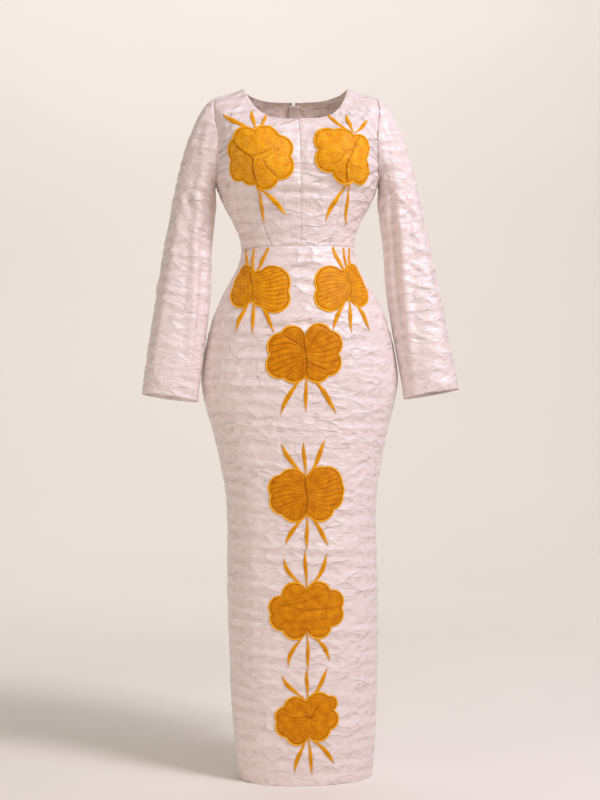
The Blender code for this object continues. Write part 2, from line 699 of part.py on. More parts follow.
def make_slider(frame):
    """A plate over the coil with a bridge, one piece of die-cast metal."""
    tall = SLIDER["tall"] / 2
    middle = (BRIDGE["low"] + BRIDGE["high"]) / 2
    edge = rounded(SLIDER["half"], middle - tall, middle + tall, SLIDER["corner"])
    plate = slab("zip_slider", [edge], SLIDER["thick"])
    base = bpy.data.objects.new("zip_slider", plate)
    parts.objects.link(base)
    base.matrix_world = frame @ Matrix.Translation((0, 0, (SLIDER["off"] + SLIDER["thick"] / 2) * MM))
    plate.materials.append(material("metal"))
    foot = SLIDER["off"] + SLIDER["thick"] / 2
    low, high, top, thick = BRIDGE["low"], BRIDGE["high"], BRIDGE["rise"], BRIDGE["thick"]
    cut = BRIDGE["chamfer"] * thick
    arch = [
        (low, foot), (low, top - cut), (low + cut, top), (high - cut, top), (high, top - cut), (high, foot),
        (high - thick, foot), (high - thick, top - thick), (low + thick, top - thick), (low + thick, foot),
    ]
    bridge = bpy.data.objects.new("bridge", slab("bridge", [arch], 2 * BRIDGE["half"]))
    cutters.objects.link(bridge)
    sideways = Matrix(((0, 0, 1, 0), (1, 0, 0, 0), (0, 1, 0, 0), (0, 0, 0, 1)))
    bridge.matrix_world = frame @ sideways
    bridge.hide_render = True
    bridge.display_type = "WIRE"
    union = base.modifiers.new("bridge", "BOOLEAN")
    union.operation = "UNION"
    union.object = bridge


def make_pull(frame):
    """The pull tab: its bar turns under the bridge, which passes through the hole below the bar."""
    half, corner, end = PULL_SHAPE["half"], PULL_SHAPE["corner"], PULL_SHAPE["end"]
    side = [
        (half - corner, PULL["bar"]), (half, PULL["bar"] - corner),
        (half, -PULL_SHAPE["neck"]), (end, -PULL_SHAPE["widest"]),
    ]
    low = end - PULL["long"]
    turns = [math.pi * i / 8 for i in range(9)]
    outline = side + [(end * math.cos(turn), low - end * math.sin(turn)) for turn in turns]
    outline += [(-x, y) for x, y in reversed(side)]
    hole = rounded(PULL["hole_half"], -PULL["hole"], -PULL["bar"], 0, 0)
    eyelet = PULL_SHAPE["eyelet"]
    turns = [math.pi * i / 5 for i in range(10)]
    eye = [(eyelet * math.cos(turn), low + eyelet * math.sin(turn)) for turn in turns]
    mesh = slab("zip_pull", [outline, hole, eye], PULL["thick"])
    mesh.materials.append(material("metal"))
    tab = bpy.data.objects.new("zip_pull", mesh)
    parts.objects.link(tab)
    tab.matrix_world = frame @ Matrix.Translation((0, PULL["up"] * MM, PULL["out"] * MM))


for old in list(bpy.data.objects):
    bpy.data.objects.remove(old)
parts = collection(COLLECTION)
cutters = collection("cutters")
make_skirt()
make_bodice()
make_sleeve("sleeve_l", -1)
make_sleeve("sleeve_r", 1)
for flower_name, flower_sizes in FLOWERS.items():
    make_flower(flower_name, flower_sizes)
make_zip_tape()
slider_frame = back_frame()
make_slider(slider_frame)
make_pull(slider_frame)
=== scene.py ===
# %% [markdown]
# # A long fitted dress of glazed white damask
# The dress is hollow, as when it is worn. Each cut piece of cloth is a thin shell on the form of its
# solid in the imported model. The golden flowers are padded and embroidered satin, sewn on the front.
# Sizes are in millimetres with heights up from the hem, and one function turns them into metres.

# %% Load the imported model
import math

import bmesh
import bpy
import numpy as np
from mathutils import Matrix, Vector


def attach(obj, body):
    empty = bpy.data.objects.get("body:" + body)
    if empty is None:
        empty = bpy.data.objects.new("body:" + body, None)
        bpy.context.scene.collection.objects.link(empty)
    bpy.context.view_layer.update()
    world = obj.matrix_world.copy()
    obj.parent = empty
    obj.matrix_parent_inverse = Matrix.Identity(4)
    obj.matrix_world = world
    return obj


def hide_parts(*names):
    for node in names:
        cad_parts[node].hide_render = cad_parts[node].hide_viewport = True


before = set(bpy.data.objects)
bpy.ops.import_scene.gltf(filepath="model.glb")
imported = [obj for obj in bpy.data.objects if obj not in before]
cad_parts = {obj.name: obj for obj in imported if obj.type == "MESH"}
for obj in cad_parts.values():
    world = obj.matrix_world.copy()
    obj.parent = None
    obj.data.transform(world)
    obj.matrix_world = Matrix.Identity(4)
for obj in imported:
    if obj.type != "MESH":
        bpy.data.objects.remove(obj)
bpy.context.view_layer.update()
MM = 0.001
NECK_POINT = 1403.0  # height of the origin, level with the inner ends of the shoulder seams


def table(names, rows):
    """Columns of numbers under their names, from text with one row to a line."""
    names = names.split()
    return dict(zip(names, np.array(rows.split(), float).reshape(-1, len(names)).T))


def fade(value):
    """1 far below zero, 0 far above it, and a smooth step between."""
    return 0.5 * (1 - np.tanh(value / 2))


def bell(value):
    """1 at zero, falling off evenly to both sides."""
    return np.exp(-(value**2))


def placed(points):
    """Millimetres from the hem's floor as metres from the origin."""
    return (np.asarray(points, float) - (0, 0, NECK_POINT)) * MM


def into_scene(name, data):
    """An object of that data, linked into the scene."""
    made = bpy.data.objects.new(name, data)
    bpy.context.scene.collection.objects.link(made)
    return made


# %% [markdown]
# ## The camera
# The photograph was taken from about 3.5 m, level with the hips, with the dress turned about 4 degrees.
# A long lens keeps the hem and the neck nearly square on. The camera is set before anything is modelled,
# so that every later choice is judged in the photograph's own frame.

# %% Camera
VIEW = {"away": 3500.0, "height": 766.0, "turn": 4.0, "roll": 0.8, "lens": 76.8}


def set_camera():
    turn = math.radians(VIEW["turn"])
    data = bpy.data.cameras.new("camera")
    data.lens = VIEW["lens"]
    camera = into_scene("camera", data)
    camera.location = placed((-VIEW["away"] * math.sin(turn), -VIEW["away"] * math.cos(turn), VIEW["height"]))
    camera.rotation_euler = (math.radians(90), math.radians(VIEW["roll"]), -turn)
    bpy.context.scene.camera = camera
    return camera


camera = set_camera()
print("camera at", tuple(round(v, 3) for v in camera.location))

# %% [markdown]
# ## Materials
# Cloth is never one flat colour. The helpers below add a shader node with its settings and links in one
# line, so a material reads as a short recipe. Colours are written as sRGB hex values, as a picture
# shows them, and one function turns them into the linear values that the shader needs.

# %% Helpers for materials


def linear(code):
    """An sRGB hex colour as linear RGBA."""
    parts = [int(code[i : i + 2], 16) / 255 for i in (1, 3, 5)]
    return tuple(c / 12.92 if c <= 0.04045 else ((c + 0.055) / 1.055) ** 2.4 for c in parts) + (1.0,)


def plug(tree, made, inputs):
    """Fill a node's sockets with values or with other nodes' outputs."""
    for key, value in dict(inputs).items():
        if isinstance(value, bpy.types.NodeSocket):
            tree.links.new(value, made.inputs[key])
        else:
            made.inputs[key].default_value = value
    return made


def node(tree, kind, inputs=(), **settings):
    """Add a node with its settings, and fill its sockets."""
    made = tree.nodes.new(kind)
    for key, value in settings.items():
        setattr(made, key, value)
    return plug(tree, made, inputs)


def maths(tree, operation, *values):
    """One sum on numbers or sockets."""
    return node(tree, "ShaderNodeMath", enumerate(values), operation=operation).outputs[0]


def times(tree, a, b):
    """One number or socket times another."""
    return maths(tree, "MULTIPLY", a, b)


def vectors(tree, operation, *values):
    """One sum on vectors."""
    return node(tree, "ShaderNodeVectorMath", enumerate(values), operation=operation).outputs


def blend(tree, factor, a, b):
    """A mix of two colours, each a socket, a linear value or an sRGB hex code."""
    a, b = (linear(c) if isinstance(c, str) else c for c in (a, b))
    return node(tree, "ShaderNodeMix", {0: factor, 6: a, 7: b}, data_type="RGBA").outputs[2]


def mapped(tree, at, scale=(1, 1, 1), turn=0.0):
    """Coordinates stretched and turned."""
    return node(tree, "ShaderNodeMapping", {"Vector": at, "Scale": scale, "Rotation": (0, 0, turn)}).outputs[0]


def noise(tree, at, scale, detail=2.0, output=0):
    """Smooth noise, as a value or as a colour where output is 1."""
    return node(tree, "ShaderNodeTexNoise", {"Vector": at, "Scale": scale, "Detail": detail}).outputs[output]


def spread(tree, value, low, high, start=0.0, end=1.0):
    """A value between low and high as one from start to end."""
    return node(tree, "ShaderNodeMapRange", {0: value, 1: low, 2: high, 3: start, 4: end}).outputs[0]


def bump(tree, height, millimetres, under=None):
    """Bump whose height runs from 0 to 1 over so many millimetres."""
    links = {"Height": height, "Distance": millimetres * MM, "Strength": 1.0}
    return node(tree, "ShaderNodeBump", links if under is None else {**links, "Normal": under}).outputs[0]


def start_material(name):
    """A new material with its node tree and its Principled shader."""
    made = bpy.data.materials.new(name)
    made.use_nodes = True
    return made, made.node_tree, made.node_tree.nodes["Principled BSDF"]


# %% [markdown]
# ## Glazed cotton damask
# Damask is woven tone on tone: the figure floats its threads one way and the ground the other, so the
# figure shows by its shine more than by its colour. This one has rows of ringed rosettes between satin
# stripes. It is beaten until it is glazed, which makes it crisp and papery, with a soft gloss.
# The pattern reads each piece's own UV map, in metres of cloth, so it runs with the grain.

# %% Damask
DAMASK = {"across": 25.0, "rows": 27.0, "ring": 6.0, "line": 0.7, "stripe": 11.0, "tilt": 2.5, "thread": 0.9}
PETALS = {"count": 8.0, "out": 0.7}
# Facets of crinkled cloth: how many to a metre across and up, their turn, their kind, and height in mm.
CRINKLES = (
    ((21, 38), 0.2, "MANHATTAN", 3.4),
    ((52, 88), -0.4, "EUCLIDEAN", 1.1),
    ((130, 240), 0.1, "MANHATTAN", 0.3),
)
RIDGE = {"wide": 0.1, "high": 0.26}


def woven_figure(tree, uv):
    """Where the rosettes lie, and where the satin stripes between their rows."""
    across, rows, ring = DAMASK["across"], DAMASK["rows"], DAMASK["ring"]
    turned = mapped(tree, uv, turn=math.radians(DAMASK["tilt"]))
    cell = vectors(tree, "MULTIPLY", turned, (1 / (across * MM), 1 / (rows * MM), 1))[0]
    centred = vectors(tree, "SUBTRACT", vectors(tree, "FRACTION", cell)[0], (0.5, 0.5, 0))[0]
    spot = vectors(tree, "MULTIPLY", centred, (across, rows, 0))[0]
    x, y, _ = node(tree, "ShaderNodeSeparateXYZ", {0: spot}).outputs
    far = vectors(tree, "LENGTH", spot)["Value"]
    turns = times(tree, maths(tree, "ARCTAN2", y, x), PETALS["count"])
    petals = times(tree, maths(tree, "COSINE", turns), PETALS["out"])
    flower = maths(tree, "LESS_THAN", maths(tree, "ADD", far, petals), ring / 2)
    rosette = maths(tree, "MAXIMUM", flower, maths(tree, "COMPARE", far, ring, DAMASK["line"]))
    edge = (rows - DAMASK["stripe"]) / 2
    return rosette, spread(tree, maths(tree, "ABSOLUTE", y), edge - 1, edge + 1)


def make_damask(name="glazed_cotton_damask"):
    made, tree, shader = start_material(name)
    uv = node(tree, "ShaderNodeUVMap", uv_map="cloth").outputs[0]
    rosette, stripe = woven_figure(tree, uv)
    patch = noise(tree, uv, 14.0, 3.0)
    band = times(tree, stripe, patch)
    thread = 1 / (DAMASK["thread"] * MM)
    weave = noise(tree, mapped(tree, uv, (thread, thread * 0.25, 1)), 1.0)
    tone = blend(tree, patch, "#E8D9D3", "#EFE2DE")
    tone = blend(tree, times(tree, rosette, times(tree, patch, 0.85)), tone, "#D6C6C3")
    # The satin stripes are painted lighter here as painted sheen, patchy like shine on folded cloth; the lower
    # roughness on them below is their real gloss.
    tone = blend(tree, times(tree, band, 0.8), tone, "#F4EAEA")
    dull = maths(tree, "ADD", 0.36, times(tree, weave, 0.14))
    gloss = times(tree, maths(tree, "MAXIMUM", rosette, band), 0.14)

    # Papery crinkles in three sizes: flat facets, where the larger ones meet at sharp little ridges.
    normal = None
    for (across, up), turn, metric, high in CRINKLES:
        stretch = mapped(tree, uv, (across, up, 1), turn)
        moved = vectors(tree, "ADD", stretch, noise(tree, stretch, 0.6, 1.5, output=1))[0]
        cells = {"Vector": moved, "Scale": 1.0}
        facets = node(tree, "ShaderNodeTexVoronoi", cells, distance=metric).outputs[0]
        normal = bump(tree, facets, high, normal)
        if high > 1:
            border = node(tree, "ShaderNodeTexVoronoi", cells, feature="DISTANCE_TO_EDGE").outputs[0]
            ridge = spread(tree, border, 0.0, RIDGE["wide"], 1.0, 0.0)
            uneven = spread(tree, patch, 0.38, 0.62, 0.15, 1.1)
            normal = bump(tree, times(tree, ridge, uneven), RIDGE["high"] * high, normal)
    plug(tree, shader, {
        "Base Color": tone, "Roughness": maths(tree, "SUBTRACT", dull, gloss),
        "Normal": bump(tree, rosette, 0.05, bump(tree, weave, 0.05, normal)),
        "Coat Weight": 0.2, "Coat Roughness": 0.28, "Specular IOR Level": 0.5,
    })
    return made


damask = make_damask()
print("made", damask.name)

# %% [markdown]
# ## Embroidered satin
# Each flower is cut from backed satin, filled with rows of machine stitches and edged with a satin cord.
# The mesh carries four attributes: edge is 1 on the corded border, deep is 1 in stitched grooves and folds,
# whose dark brown is partly the denser stitching there and partly painted shade, worn marks the brownish
# middle of a leaf, and gilt the brighter flowers. The colours are mixed from them.

# %% Satin
STITCH_ROW = 2.6
MARKS = ("edge", "deep", "worn", "gilt")


def make_satin(name="embroidered_satin"):
    made, tree, shader = start_material(name)
    uv = node(tree, "ShaderNodeUVMap", uv_map="cloth").outputs[0]
    edge, deep, worn, gilt = (node(tree, "ShaderNodeAttribute", attribute_name=m).outputs["Fac"] for m in MARKS)
    fine, cloud = noise(tree, uv, 700.0), noise(tree, uv, 60.0, 3.0)
    streaks = noise(tree, mapped(tree, uv, (70, 420, 1)), 1.0)
    mixed = maths(tree, "ADD", times(tree, fine, 0.5), times(tree, cloud, 0.35))
    ramp = spread(tree, maths(tree, "ADD", mixed, times(tree, streaks, 0.15)), 0.4, 0.6)
    fill = blend(tree, ramp, blend(tree, gilt, "#BC6600", "#DA8200"), blend(tree, gilt, "#EE9E00", "#FFBA14"))
    fill = blend(tree, edge, fill, "#F7B010")
    # Grooves, petal valleys, rib grooves and tuck folds are darkened brown: partly the denser stitching in them,
    # partly painted shade.
    fill = blend(tree, times(tree, deep, 0.85), fill, "#7E4200")
    rows = node(
        tree, "ShaderNodeTexWave",
        {"Vector": uv, "Scale": 0.25 / (STITCH_ROW * MM), "Distortion": 1.5, "Detail": 2.0},
        wave_type="BANDS", bands_direction="Y",
    ).outputs[1]
    woven = bump(tree, streaks, 0.2, bump(tree, rows, 0.25))
    plug(tree, shader, {
        "Base Color": blend(tree, worn, fill, "#A85C00"), "Normal": bump(tree, fine, 0.3, woven),
        "Roughness": maths(tree, "SUBTRACT", 0.5, times(tree, edge, 0.16)), "Specular IOR Level": 0.14,
    })
    return made


satin = make_satin()

# %% [markdown]
# ## Thread, tape, coil and metal
# The seams' thread is spun polyester with a slight lustre. The zip's tape is a fine twill, its coil is
# a nylon thread wound in loops, and the slider and its pull tab are die-cast zinc under a nickel plate.

# %% Small materials


def make_thread(name, shade, roughness):
    made, tree, shader = start_material(name)
    twist = noise(tree, node(tree, "ShaderNodeTexCoord").outputs["Object"], 2500.0)
    lighter = tuple(min(1.0, c * 1.12) for c in linear(shade)[:3]) + (1.0,)
    tone = blend(tree, twist, shade, lighter)
    plug(tree, shader, {"Base Color": tone, "Normal": bump(tree, twist, 0.1), "Roughness": roughness})
    return made


def make_tape(name="twill_zip_tape"):
    made, tree, shader = start_material(name)
    at = node(tree, "ShaderNodeTexCoord").outputs["Object"]
    twill = node(
        tree, "ShaderNodeTexWave", {"Vector": at, "Scale": 320.0, "Distortion": 0.6},
        wave_type="BANDS", bands_direction="DIAGONAL",
    ).outputs[1]
    tone = blend(tree, twill, "#CDBFB5", "#DDD1C8")
    plug(tree, shader, {"Base Color": tone, "Normal": bump(tree, twill, 0.12), "Roughness": 0.75})
    return made


def make_metal(name="nickel_plated_zinc"):
    made, tree, shader = start_material(name)
    rubbed = noise(tree, node(tree, "ShaderNodeTexCoord").outputs["Object"], 900.0, 3.0)
    plug(tree, shader, {
        "Metallic": 1.0, "Base Color": blend(tree, rubbed, "#B9B6B0", "#D6D3CC"),
        "Roughness": maths(tree, "ADD", 0.2, times(tree, rubbed, 0.15)), "Normal": bump(tree, rubbed, 0.01),
    })
    return made


thread = make_thread("polyester_sewing_thread", "#E4D8D4", 0.5)
coil = make_thread("nylon_zip_coil", "#E6DFD8", 0.35)
glitter = make_thread("gilt_bead", "#FFF0C4", 0.25)
tape = make_tape()
metal = make_metal()
for name in ("zip_slider", "zip_pull"):
    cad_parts[name].material_slots[0].material = metal

# %% [markdown]
# ## The form under the cloth
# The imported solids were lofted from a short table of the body's width and depth up the dress. The same
# table is repeated here, because a shell that follows the same smooth surface needs no fitting. A place
# on the dress is an angle round from the centre front and a level, which is a height below the armholes
# and a curved loop above them.

# %% Tables of the form
WAIST, UNDERARM, SHOULDER_TIP, NECK_LEVEL = 1075.0, 1205.0, 1384.0, 1446.0
SEAM_GAP, ARMHOLE_GAP = 0.3, 0.4
BODY = table("level half ahead behind", """
    0 137 113 116
    28 140 114 117
    69 143.5 115 118
    151 148.5 116 120
    233 151.5 117 122
    315 153.5 118 124
    397 154 118 126
    479 152.5 117 128
    520 152 116 129
    561 154 116 131
    602 158.5 116 133
    643 165.5 116 136
    684 174.5 117 139
    725 185 118 143
    766 196 119 148
    807 202 119 151
    858 196 119 150
    889 189.5 118 147
    920 181 116 141
    946 172 112 133
    971 160.5 107 123
    991 150 102 114
    1012 138 97 104
    1032 127 92 95
    1053 119 88 87
    1075 116 85 82
    1097 118 87 82
    1135 133 96 87
    1176 155 106 94
    1205 165 110 98
""")
YOKE = table("level side front back half ahead behind lift", """
    1205 1205 1205 1205 165 110 98 2
    1255 1257 1232 1243 176 111 101 2
    1310 1318 1258 1283 179 109 102 2
    1366 1375 1284 1325 174 102 97 2.5
    1384 1384 1294 1340 165 98 95 2.8
    1415 1394 1313 1366 135 87 84 3.4
    1446 1403 1332 1388 105 75 69 4
""")
FULL = 2.2  # the exponent of the section's oval, 2 for an ellipse
BUST = {"apart": 93.0, "height": 1240.0, "out": 23.0, "across": 60.0, "above": 66.0, "below": 46.0}
FOLDS = table("round level slope run wide out", """
    -24 1050 6 60 9 3.0
    20 1046 -4 55 9 2.6
    -4 1026 3 60 10 -2.4
    -44 925 -28 60 14 3.2
    46 930 24 55 14 3.0
    -2 958 2 60 13 -2.6
    62 610 14 70 17 3.0
    -60 640 -12 70 17 2.8
    30 470 8 60 18 2.4
    -34 395 -7 60 18 2.2
    48 300 10 60 18 2.4
    -50 200 -8 60 18 2.2
    40 110 9 60 18 2.2
    150 1040 6 60 10 3.0
    -152 1036 -5 60 10 2.8
    140 640 10 70 18 3.2
    -142 610 -9 70 18 3.0
    128 930 -20 60 15 3.0
    -130 935 18 60 15 3.0
    24 1100 -5 40 8 2.2
    -22 1112 6 40 8 2.2
""")

# %% The surface as a function


def smooth(xs, ys, at):
    """A cubic curve through points, with each slope taken from the points beside it."""
    slope = np.gradient(ys, xs)
    i = np.clip(np.searchsorted(xs, at, side="right") - 1, 0, len(xs) - 2)
    wide = xs[i + 1] - xs[i]
    t = np.clip((at - xs[i]) / wide, 0, 1)
    near = (1 + 2 * t) * (1 - t) ** 2 * ys[i] + t**2 * (3 - 2 * t) * ys[i + 1]
    return near + wide * t * (1 - t) * ((1 - t) * slope[i] - t * slope[i + 1])


def section(column, level):
    """A column of the two tables as one smooth curve up the dress."""
    xs = np.concatenate([BODY["level"], YOKE["level"][1:]])
    if column in BODY:
        ys = np.concatenate([BODY[column], YOKE[column][1:]])
    elif column == "lift":
        ys = np.concatenate([np.full(len(BODY["level"]), YOKE["lift"][0]), YOKE["lift"][1:]])
    else:
        ys = np.concatenate([BODY["level"], YOKE[column][1:]])
    return smooth(xs, ys, level)


def along_line(across, rise, slope):
    """Distances along and across a line that slopes by so many degrees."""
    turn = math.radians(slope)
    return across * math.cos(turn) + rise * math.sin(turn), rise * math.cos(turn) - across * math.sin(turn)


def line_up(around, level, row_round, row_level, slope):
    """Distances along and across a sloping line through one place of the surface."""
    return along_line(np.radians(around - row_round) * section("half", row_level), level - row_level, slope)


def folds(around, level):
    """How far the large folds move the cloth outwards."""
    out = 0.0
    for i in range(len(FOLDS["round"])):
        run, off = line_up(around, level, FOLDS["round"][i], FOLDS["level"][i], FOLDS["slope"][i])
        reach = (run / FOLDS["run"][i]) ** 2 + (off / FOLDS["wide"][i]) ** 2
        out = out + FOLDS["out"][i] * np.exp(-reach)
    return out


def height_of(around, level):
    """How high a level lies there: the yoke's levels climb from the centre towards the side."""
    sin, cos = np.sin(np.radians(around)), np.cos(np.radians(around))
    centre = np.where(cos > 0, section("front", level), section("back", level))
    return centre + (section("side", level) - centre) * np.abs(sin) ** section("lift", level)


def body(around, level):
    """A point of the dress's outer face, so many degrees round from the centre front."""
    sin, cos = np.sin(np.radians(around)), np.cos(np.radians(around))
    size = (np.abs(sin) ** FULL + np.abs(cos) ** FULL) ** (-1 / FULL)
    height = height_of(around, level)
    depth = np.where(cos > 0, section("ahead", level), section("behind", level))
    fold = folds(around, level)
    x = section("half", level) * size * sin + fold * sin
    above = height - BUST["height"]
    up = above / np.where(above > 0, BUST["above"], BUST["below"])
    side = (np.abs(x) - BUST["apart"]) / BUST["across"]
    bust = BUST["out"] * np.exp(-(side**2) - up**2)
    y = -depth * size * cos - fold * cos - np.where(cos > 0, bust, 0)
    return np.stack([x, y, height], axis=-1)


def skin(around, level):
    """Points of the outer face, and the directions straight out of it."""
    around, level = np.broadcast_arrays(np.asarray(around, float), np.asarray(level, float))
    turn, rise = 0.2, 1.0
    round_it = body(around + turn, level) - body(around - turn, level)
    up = body(around, level + rise) - body(around, level - rise)
    out = np.cross(round_it, up)
    return body(around, level), out / np.linalg.norm(out, axis=-1, keepdims=True)


def angle_at(across, level):
    """The degrees round from the centre front at which a level is so far across."""
    share = np.clip(np.abs(across) / section("half", level), 0, 1 - 1e-9) ** FULL
    return np.sign(across) * np.degrees(np.arctan((share / (1 - share)) ** (1 / FULL)))


def level_at(around, height):
    """The level that lies at a height: around gives the angle, or finds it for each level."""
    low, high = np.zeros_like(height), np.full_like(height, NECK_LEVEL)
    for _ in range(40):
        level = (low + high) / 2
        angle = around(level) if callable(around) else around
        under = height_of(angle, level) < height
        low, high = np.where(under, level, low), np.where(under, high, level)
    return level


def locate(across, height):
    """The angle and the level of a place on the front, given as the front view shows it."""
    across, height = np.broadcast_arrays(np.asarray(across, float), np.asarray(height, float))
    level = level_at(lambda found: angle_at(across, found), height)
    return angle_at(across, level), level


print("waist", np.round(body(90.0, WAIST), 1), "neck", np.round(body(0.0, NECK_LEVEL), 1))

# %% [markdown]
# ## Creases
# Glazed cotton holds every crease. The main ones are placed one by one: drag lines across the midriff and
# under the waist, folds that run from the bust and the hips to the seams, and the pressed lines down
# the skirt. Each row below gives a crease as the front view shows it, and face is -1 for the back.
# slope turns it from level, run and wide are its reach along and across, and out its height.

# %% Creases of the bodice and the skirt
CREASES = table("face across height slope run wide out", """
    1 -12 1193 -2 60 7 2.6
    1 30 1206 28 30 6 2.0
    1 -8 1182 0 55 7 -1.6
    1 -70 1186 -14 34 6 1.8
    1 78 1192 12 36 6 1.6
    1 -6 1165 2 48 5 1.1
    1 58 1158 6 36 5 1.0
    1 -84 1160 -10 30 4 1.2
    1 -34 1137 3 34 4 1.3
    1 22 1134 -3 30 4 1.0
    1 62 1119 4 30 3.6 1.5
    1 -18 1116 3 34 4 1.2
    1 44 1106 10 26 3.6 1.4
    1 -28 1104 -6 26 3.6 1.4
    1 20 1092 -4 22 3.4 1.5
    1 58 1090 8 20 3.4 1.2
    1 -58 1092 -7 26 3.6 1.2
    1 -4 1083 2 30 3 1.0
    1 104 1130 28 34 5 1.8
    1 112 1110 22 26 5 1.6
    1 96 1096 14 20 4 1.3
    1 -106 1132 -24 32 5 1.6
    1 -100 1106 -16 26 4 1.4
    1 -118 1166 -38 24 4 1.4
    1 126 1168 36 28 5 1.6
    1 36 1304 80 26 7 1.6
    1 22 1300 96 24 5 -1.0
    1 -30 1304 104 22 6 1.0
    1 -128 1330 62 30 6 1.6
    1 -108 1318 40 26 5 1.2
    1 132 1336 -60 34 6 2.0
    1 116 1322 -44 28 5 1.4
    1 12 1262 70 26 6 1.2
    1 4 1236 88 30 7 -1.2
    1 -8 1250 110 20 5 0.9
    1 18 1222 50 22 5 1.3
    1 -152 1222 -18 22 5 3.0
    1 -148 1208 -30 26 5 -2.0
    1 -140 1196 -42 30 6 2.4
    1 152 1230 20 24 5 2.6
    1 148 1214 34 28 5 -1.8
    1 140 1202 44 30 6 2.2
    1 -14 1062 4 30 4 1.8
    1 20 1056 -4 28 4 1.5
    1 6 1041 6 40 5 2.2
    1 -18 1034 -4 26 4 -1.4
    1 24 1030 8 26 4 1.5
    1 -8 1018 14 20 4 1.4
    1 12 1006 -18 18 4 1.5
    1 -12 996 24 16 4 1.4
    1 8 984 10 18 4 1.2
    1 -4 972 -14 22 4 1.5
    1 -20 944 4 40 6 1.9
    1 22 938 -3 36 6 1.6
    1 -10 928 2 58 6 2.2
    1 12 916 -2 40 6 -1.4
    1 -66 918 10 30 4 1.5
    1 70 922 -12 30 4 1.3
    1 -150 893 14 22 3.4 1.8
    1 84 890 -40 14 3.4 1.5
    1 -104 876 3 46 5 0.9
    1 118 880 -4 46 5 1.0
    1 -96 852 -4 40 4 1.0
    1 112 858 5 48 4 1.2
    1 -104 830 6 42 4 1.1
    1 120 836 4 44 4 1.2
    1 -92 812 -6 32 4 1.3
    1 106 820 -8 30 4 1.2
    1 -128 794 -22 28 4 1.5
    1 150 798 30 28 4 1.3
    1 -60 788 -12 30 4 1.0
    1 84 790 12 32 4 1.1
    1 -40 756 -4 44 5 0.9
    1 70 752 5 44 5 1.0
    1 -110 742 -16 34 5 1.3
    1 130 738 18 34 5 1.3
    1 -24 712 2 40 5 0.9
    1 44 706 -4 36 5 0.9
    1 -92 690 -14 32 4 1.2
    1 100 684 16 36 4 1.4
    1 -56 676 36 16 3.4 1.4
    1 8 694 84 18 3.4 0.9
    1 -110 646 -10 30 4 1.2
    1 112 642 20 34 5 1.6
    1 -94 622 -18 34 4 1.5
    1 96 616 26 34 4 1.8
    1 -104 600 -30 30 4 1.4
    1 106 594 36 30 4 1.6
    1 -98 574 10 30 4 1.2
    1 100 566 -8 30 4 1.2
    1 -92 548 22 26 4 1.3
    1 94 540 -18 30 4 1.3
    1 -70 514 12 34 5 1.2
    1 84 504 -6 40 5 1.3
    1 -96 478 -8 34 4 1.1
    1 70 468 14 36 4 1.3
    1 -60 452 3 34 4 1.2
    1 104 440 10 30 4 1.2
    1 -102 418 -12 30 4 1.1
    1 92 404 18 34 4 1.3
    1 -90 380 6 26 4 1.1
    1 100 366 -10 30 4 1.1
    1 -104 338 -14 30 4 1.2
    1 98 322 12 34 4 1.3
    1 -88 300 10 28 4 1.1
    1 90 284 30 30 4 1.5
    1 -98 262 -8 30 4 1.1
    1 106 252 34 28 4 1.4
    1 -92 219 1 34 3 1.5
    1 88 226 24 30 4 1.4
    1 -100 192 -16 30 4 1.1
    1 96 186 30 34 4 1.5
    1 -86 160 12 28 4 1.2
    1 102 148 26 30 4 1.4
    1 -96 118 -10 30 4 1.1
    1 90 104 22 32 4 1.4
    1 -88 78 8 28 4 1.1
    1 96 66 18 28 4 1.2
    1 -40 56 -6 30 4 0.9
    -1 -40 1180 8 44 6 1.8
    -1 44 1172 -6 42 6 1.6
    -1 -50 1150 -10 40 5 1.6
    -1 46 1142 12 40 5 1.5
    -1 -44 1122 6 38 4 1.6
    -1 50 1114 -5 38 4 1.6
    -1 -56 1098 -8 34 4 1.5
    -1 48 1092 7 34 4 1.4
    -1 -120 1205 36 34 6 2.4
    -1 120 1210 -36 34 6 2.4
    -1 -130 1236 60 34 6 1.8
    -1 130 1240 -60 34 6 1.8
    -1 -40 1300 20 50 7 1.3
    -1 46 1290 -16 50 7 1.3
    -1 -46 1056 -8 42 5 2.0
    -1 48 1050 10 42 5 1.8
    -1 -50 1028 6 46 6 1.9
    -1 54 1020 -8 46 6 1.8
    -1 -62 998 -12 40 5 1.6
    -1 60 990 14 40 5 1.5
    -1 -90 960 22 44 7 1.8
    -1 92 952 -22 44 7 1.8
    -1 -60 700 8 60 8 2.0
    -1 66 690 -6 60 8 2.0
    -1 -80 668 -10 50 6 1.9
    -1 78 660 14 50 6 1.8
    -1 -56 636 12 50 6 1.7
    -1 60 622 -9 50 6 1.6
    -1 -88 600 -14 44 5 1.5
    -1 84 588 10 44 5 1.5
    -1 -60 540 6 44 5 1.3
    -1 66 520 -12 44 5 1.3
    -1 -90 468 14 40 5 1.3
    -1 84 452 -10 40 5 1.3
    -1 -70 380 -8 40 5 1.2
    -1 76 360 12 40 5 1.2
    -1 -84 290 14 40 5 1.2
    -1 80 262 -12 40 5 1.2
    -1 -70 190 -10 40 5 1.2
    -1 74 160 14 40 5 1.2
    -1 -86 90 8 40 5 1.1
""")
# Lines pressed into the cloth when it lay folded: angle round, from one level up to another, height.
PRESSED = table("round low high out", """
    0 0 1070 0.5
    34 30 900 0.45
    -58 40 720 0.4
    150 30 900 0.4
    -146 30 880 0.4
""")
PRESS = {"wide": 2.6, "fade": 60.0}
CRUMPLE = {
    "seed": 11, "across": 46.0, "up": 21.0, "out": 1.8, "fine": 0.5,
    "wander": 0.8, "wander_size": 90.0, "least": 0.3, "varies": 0.9, "sink": 0.35,
}
# Beside each ridge lies a dip of a share of its height, so many widths off and broader than the ridge.
CREST = {"dip": 0.55, "arm_dip": 0.5, "aside": 1.7, "broad": 1.3, "bend": 14.0}
DEPTH = 1.4  # how much deeper the placed creases are than the sizes in their tables


def crease_places():
    """The creases' angles and levels, found from how the front or the back view shows them."""
    around, level = locate(CREASES["across"], CREASES["height"])
    return np.where(CREASES["face"] > 0, around, 180 - around), level


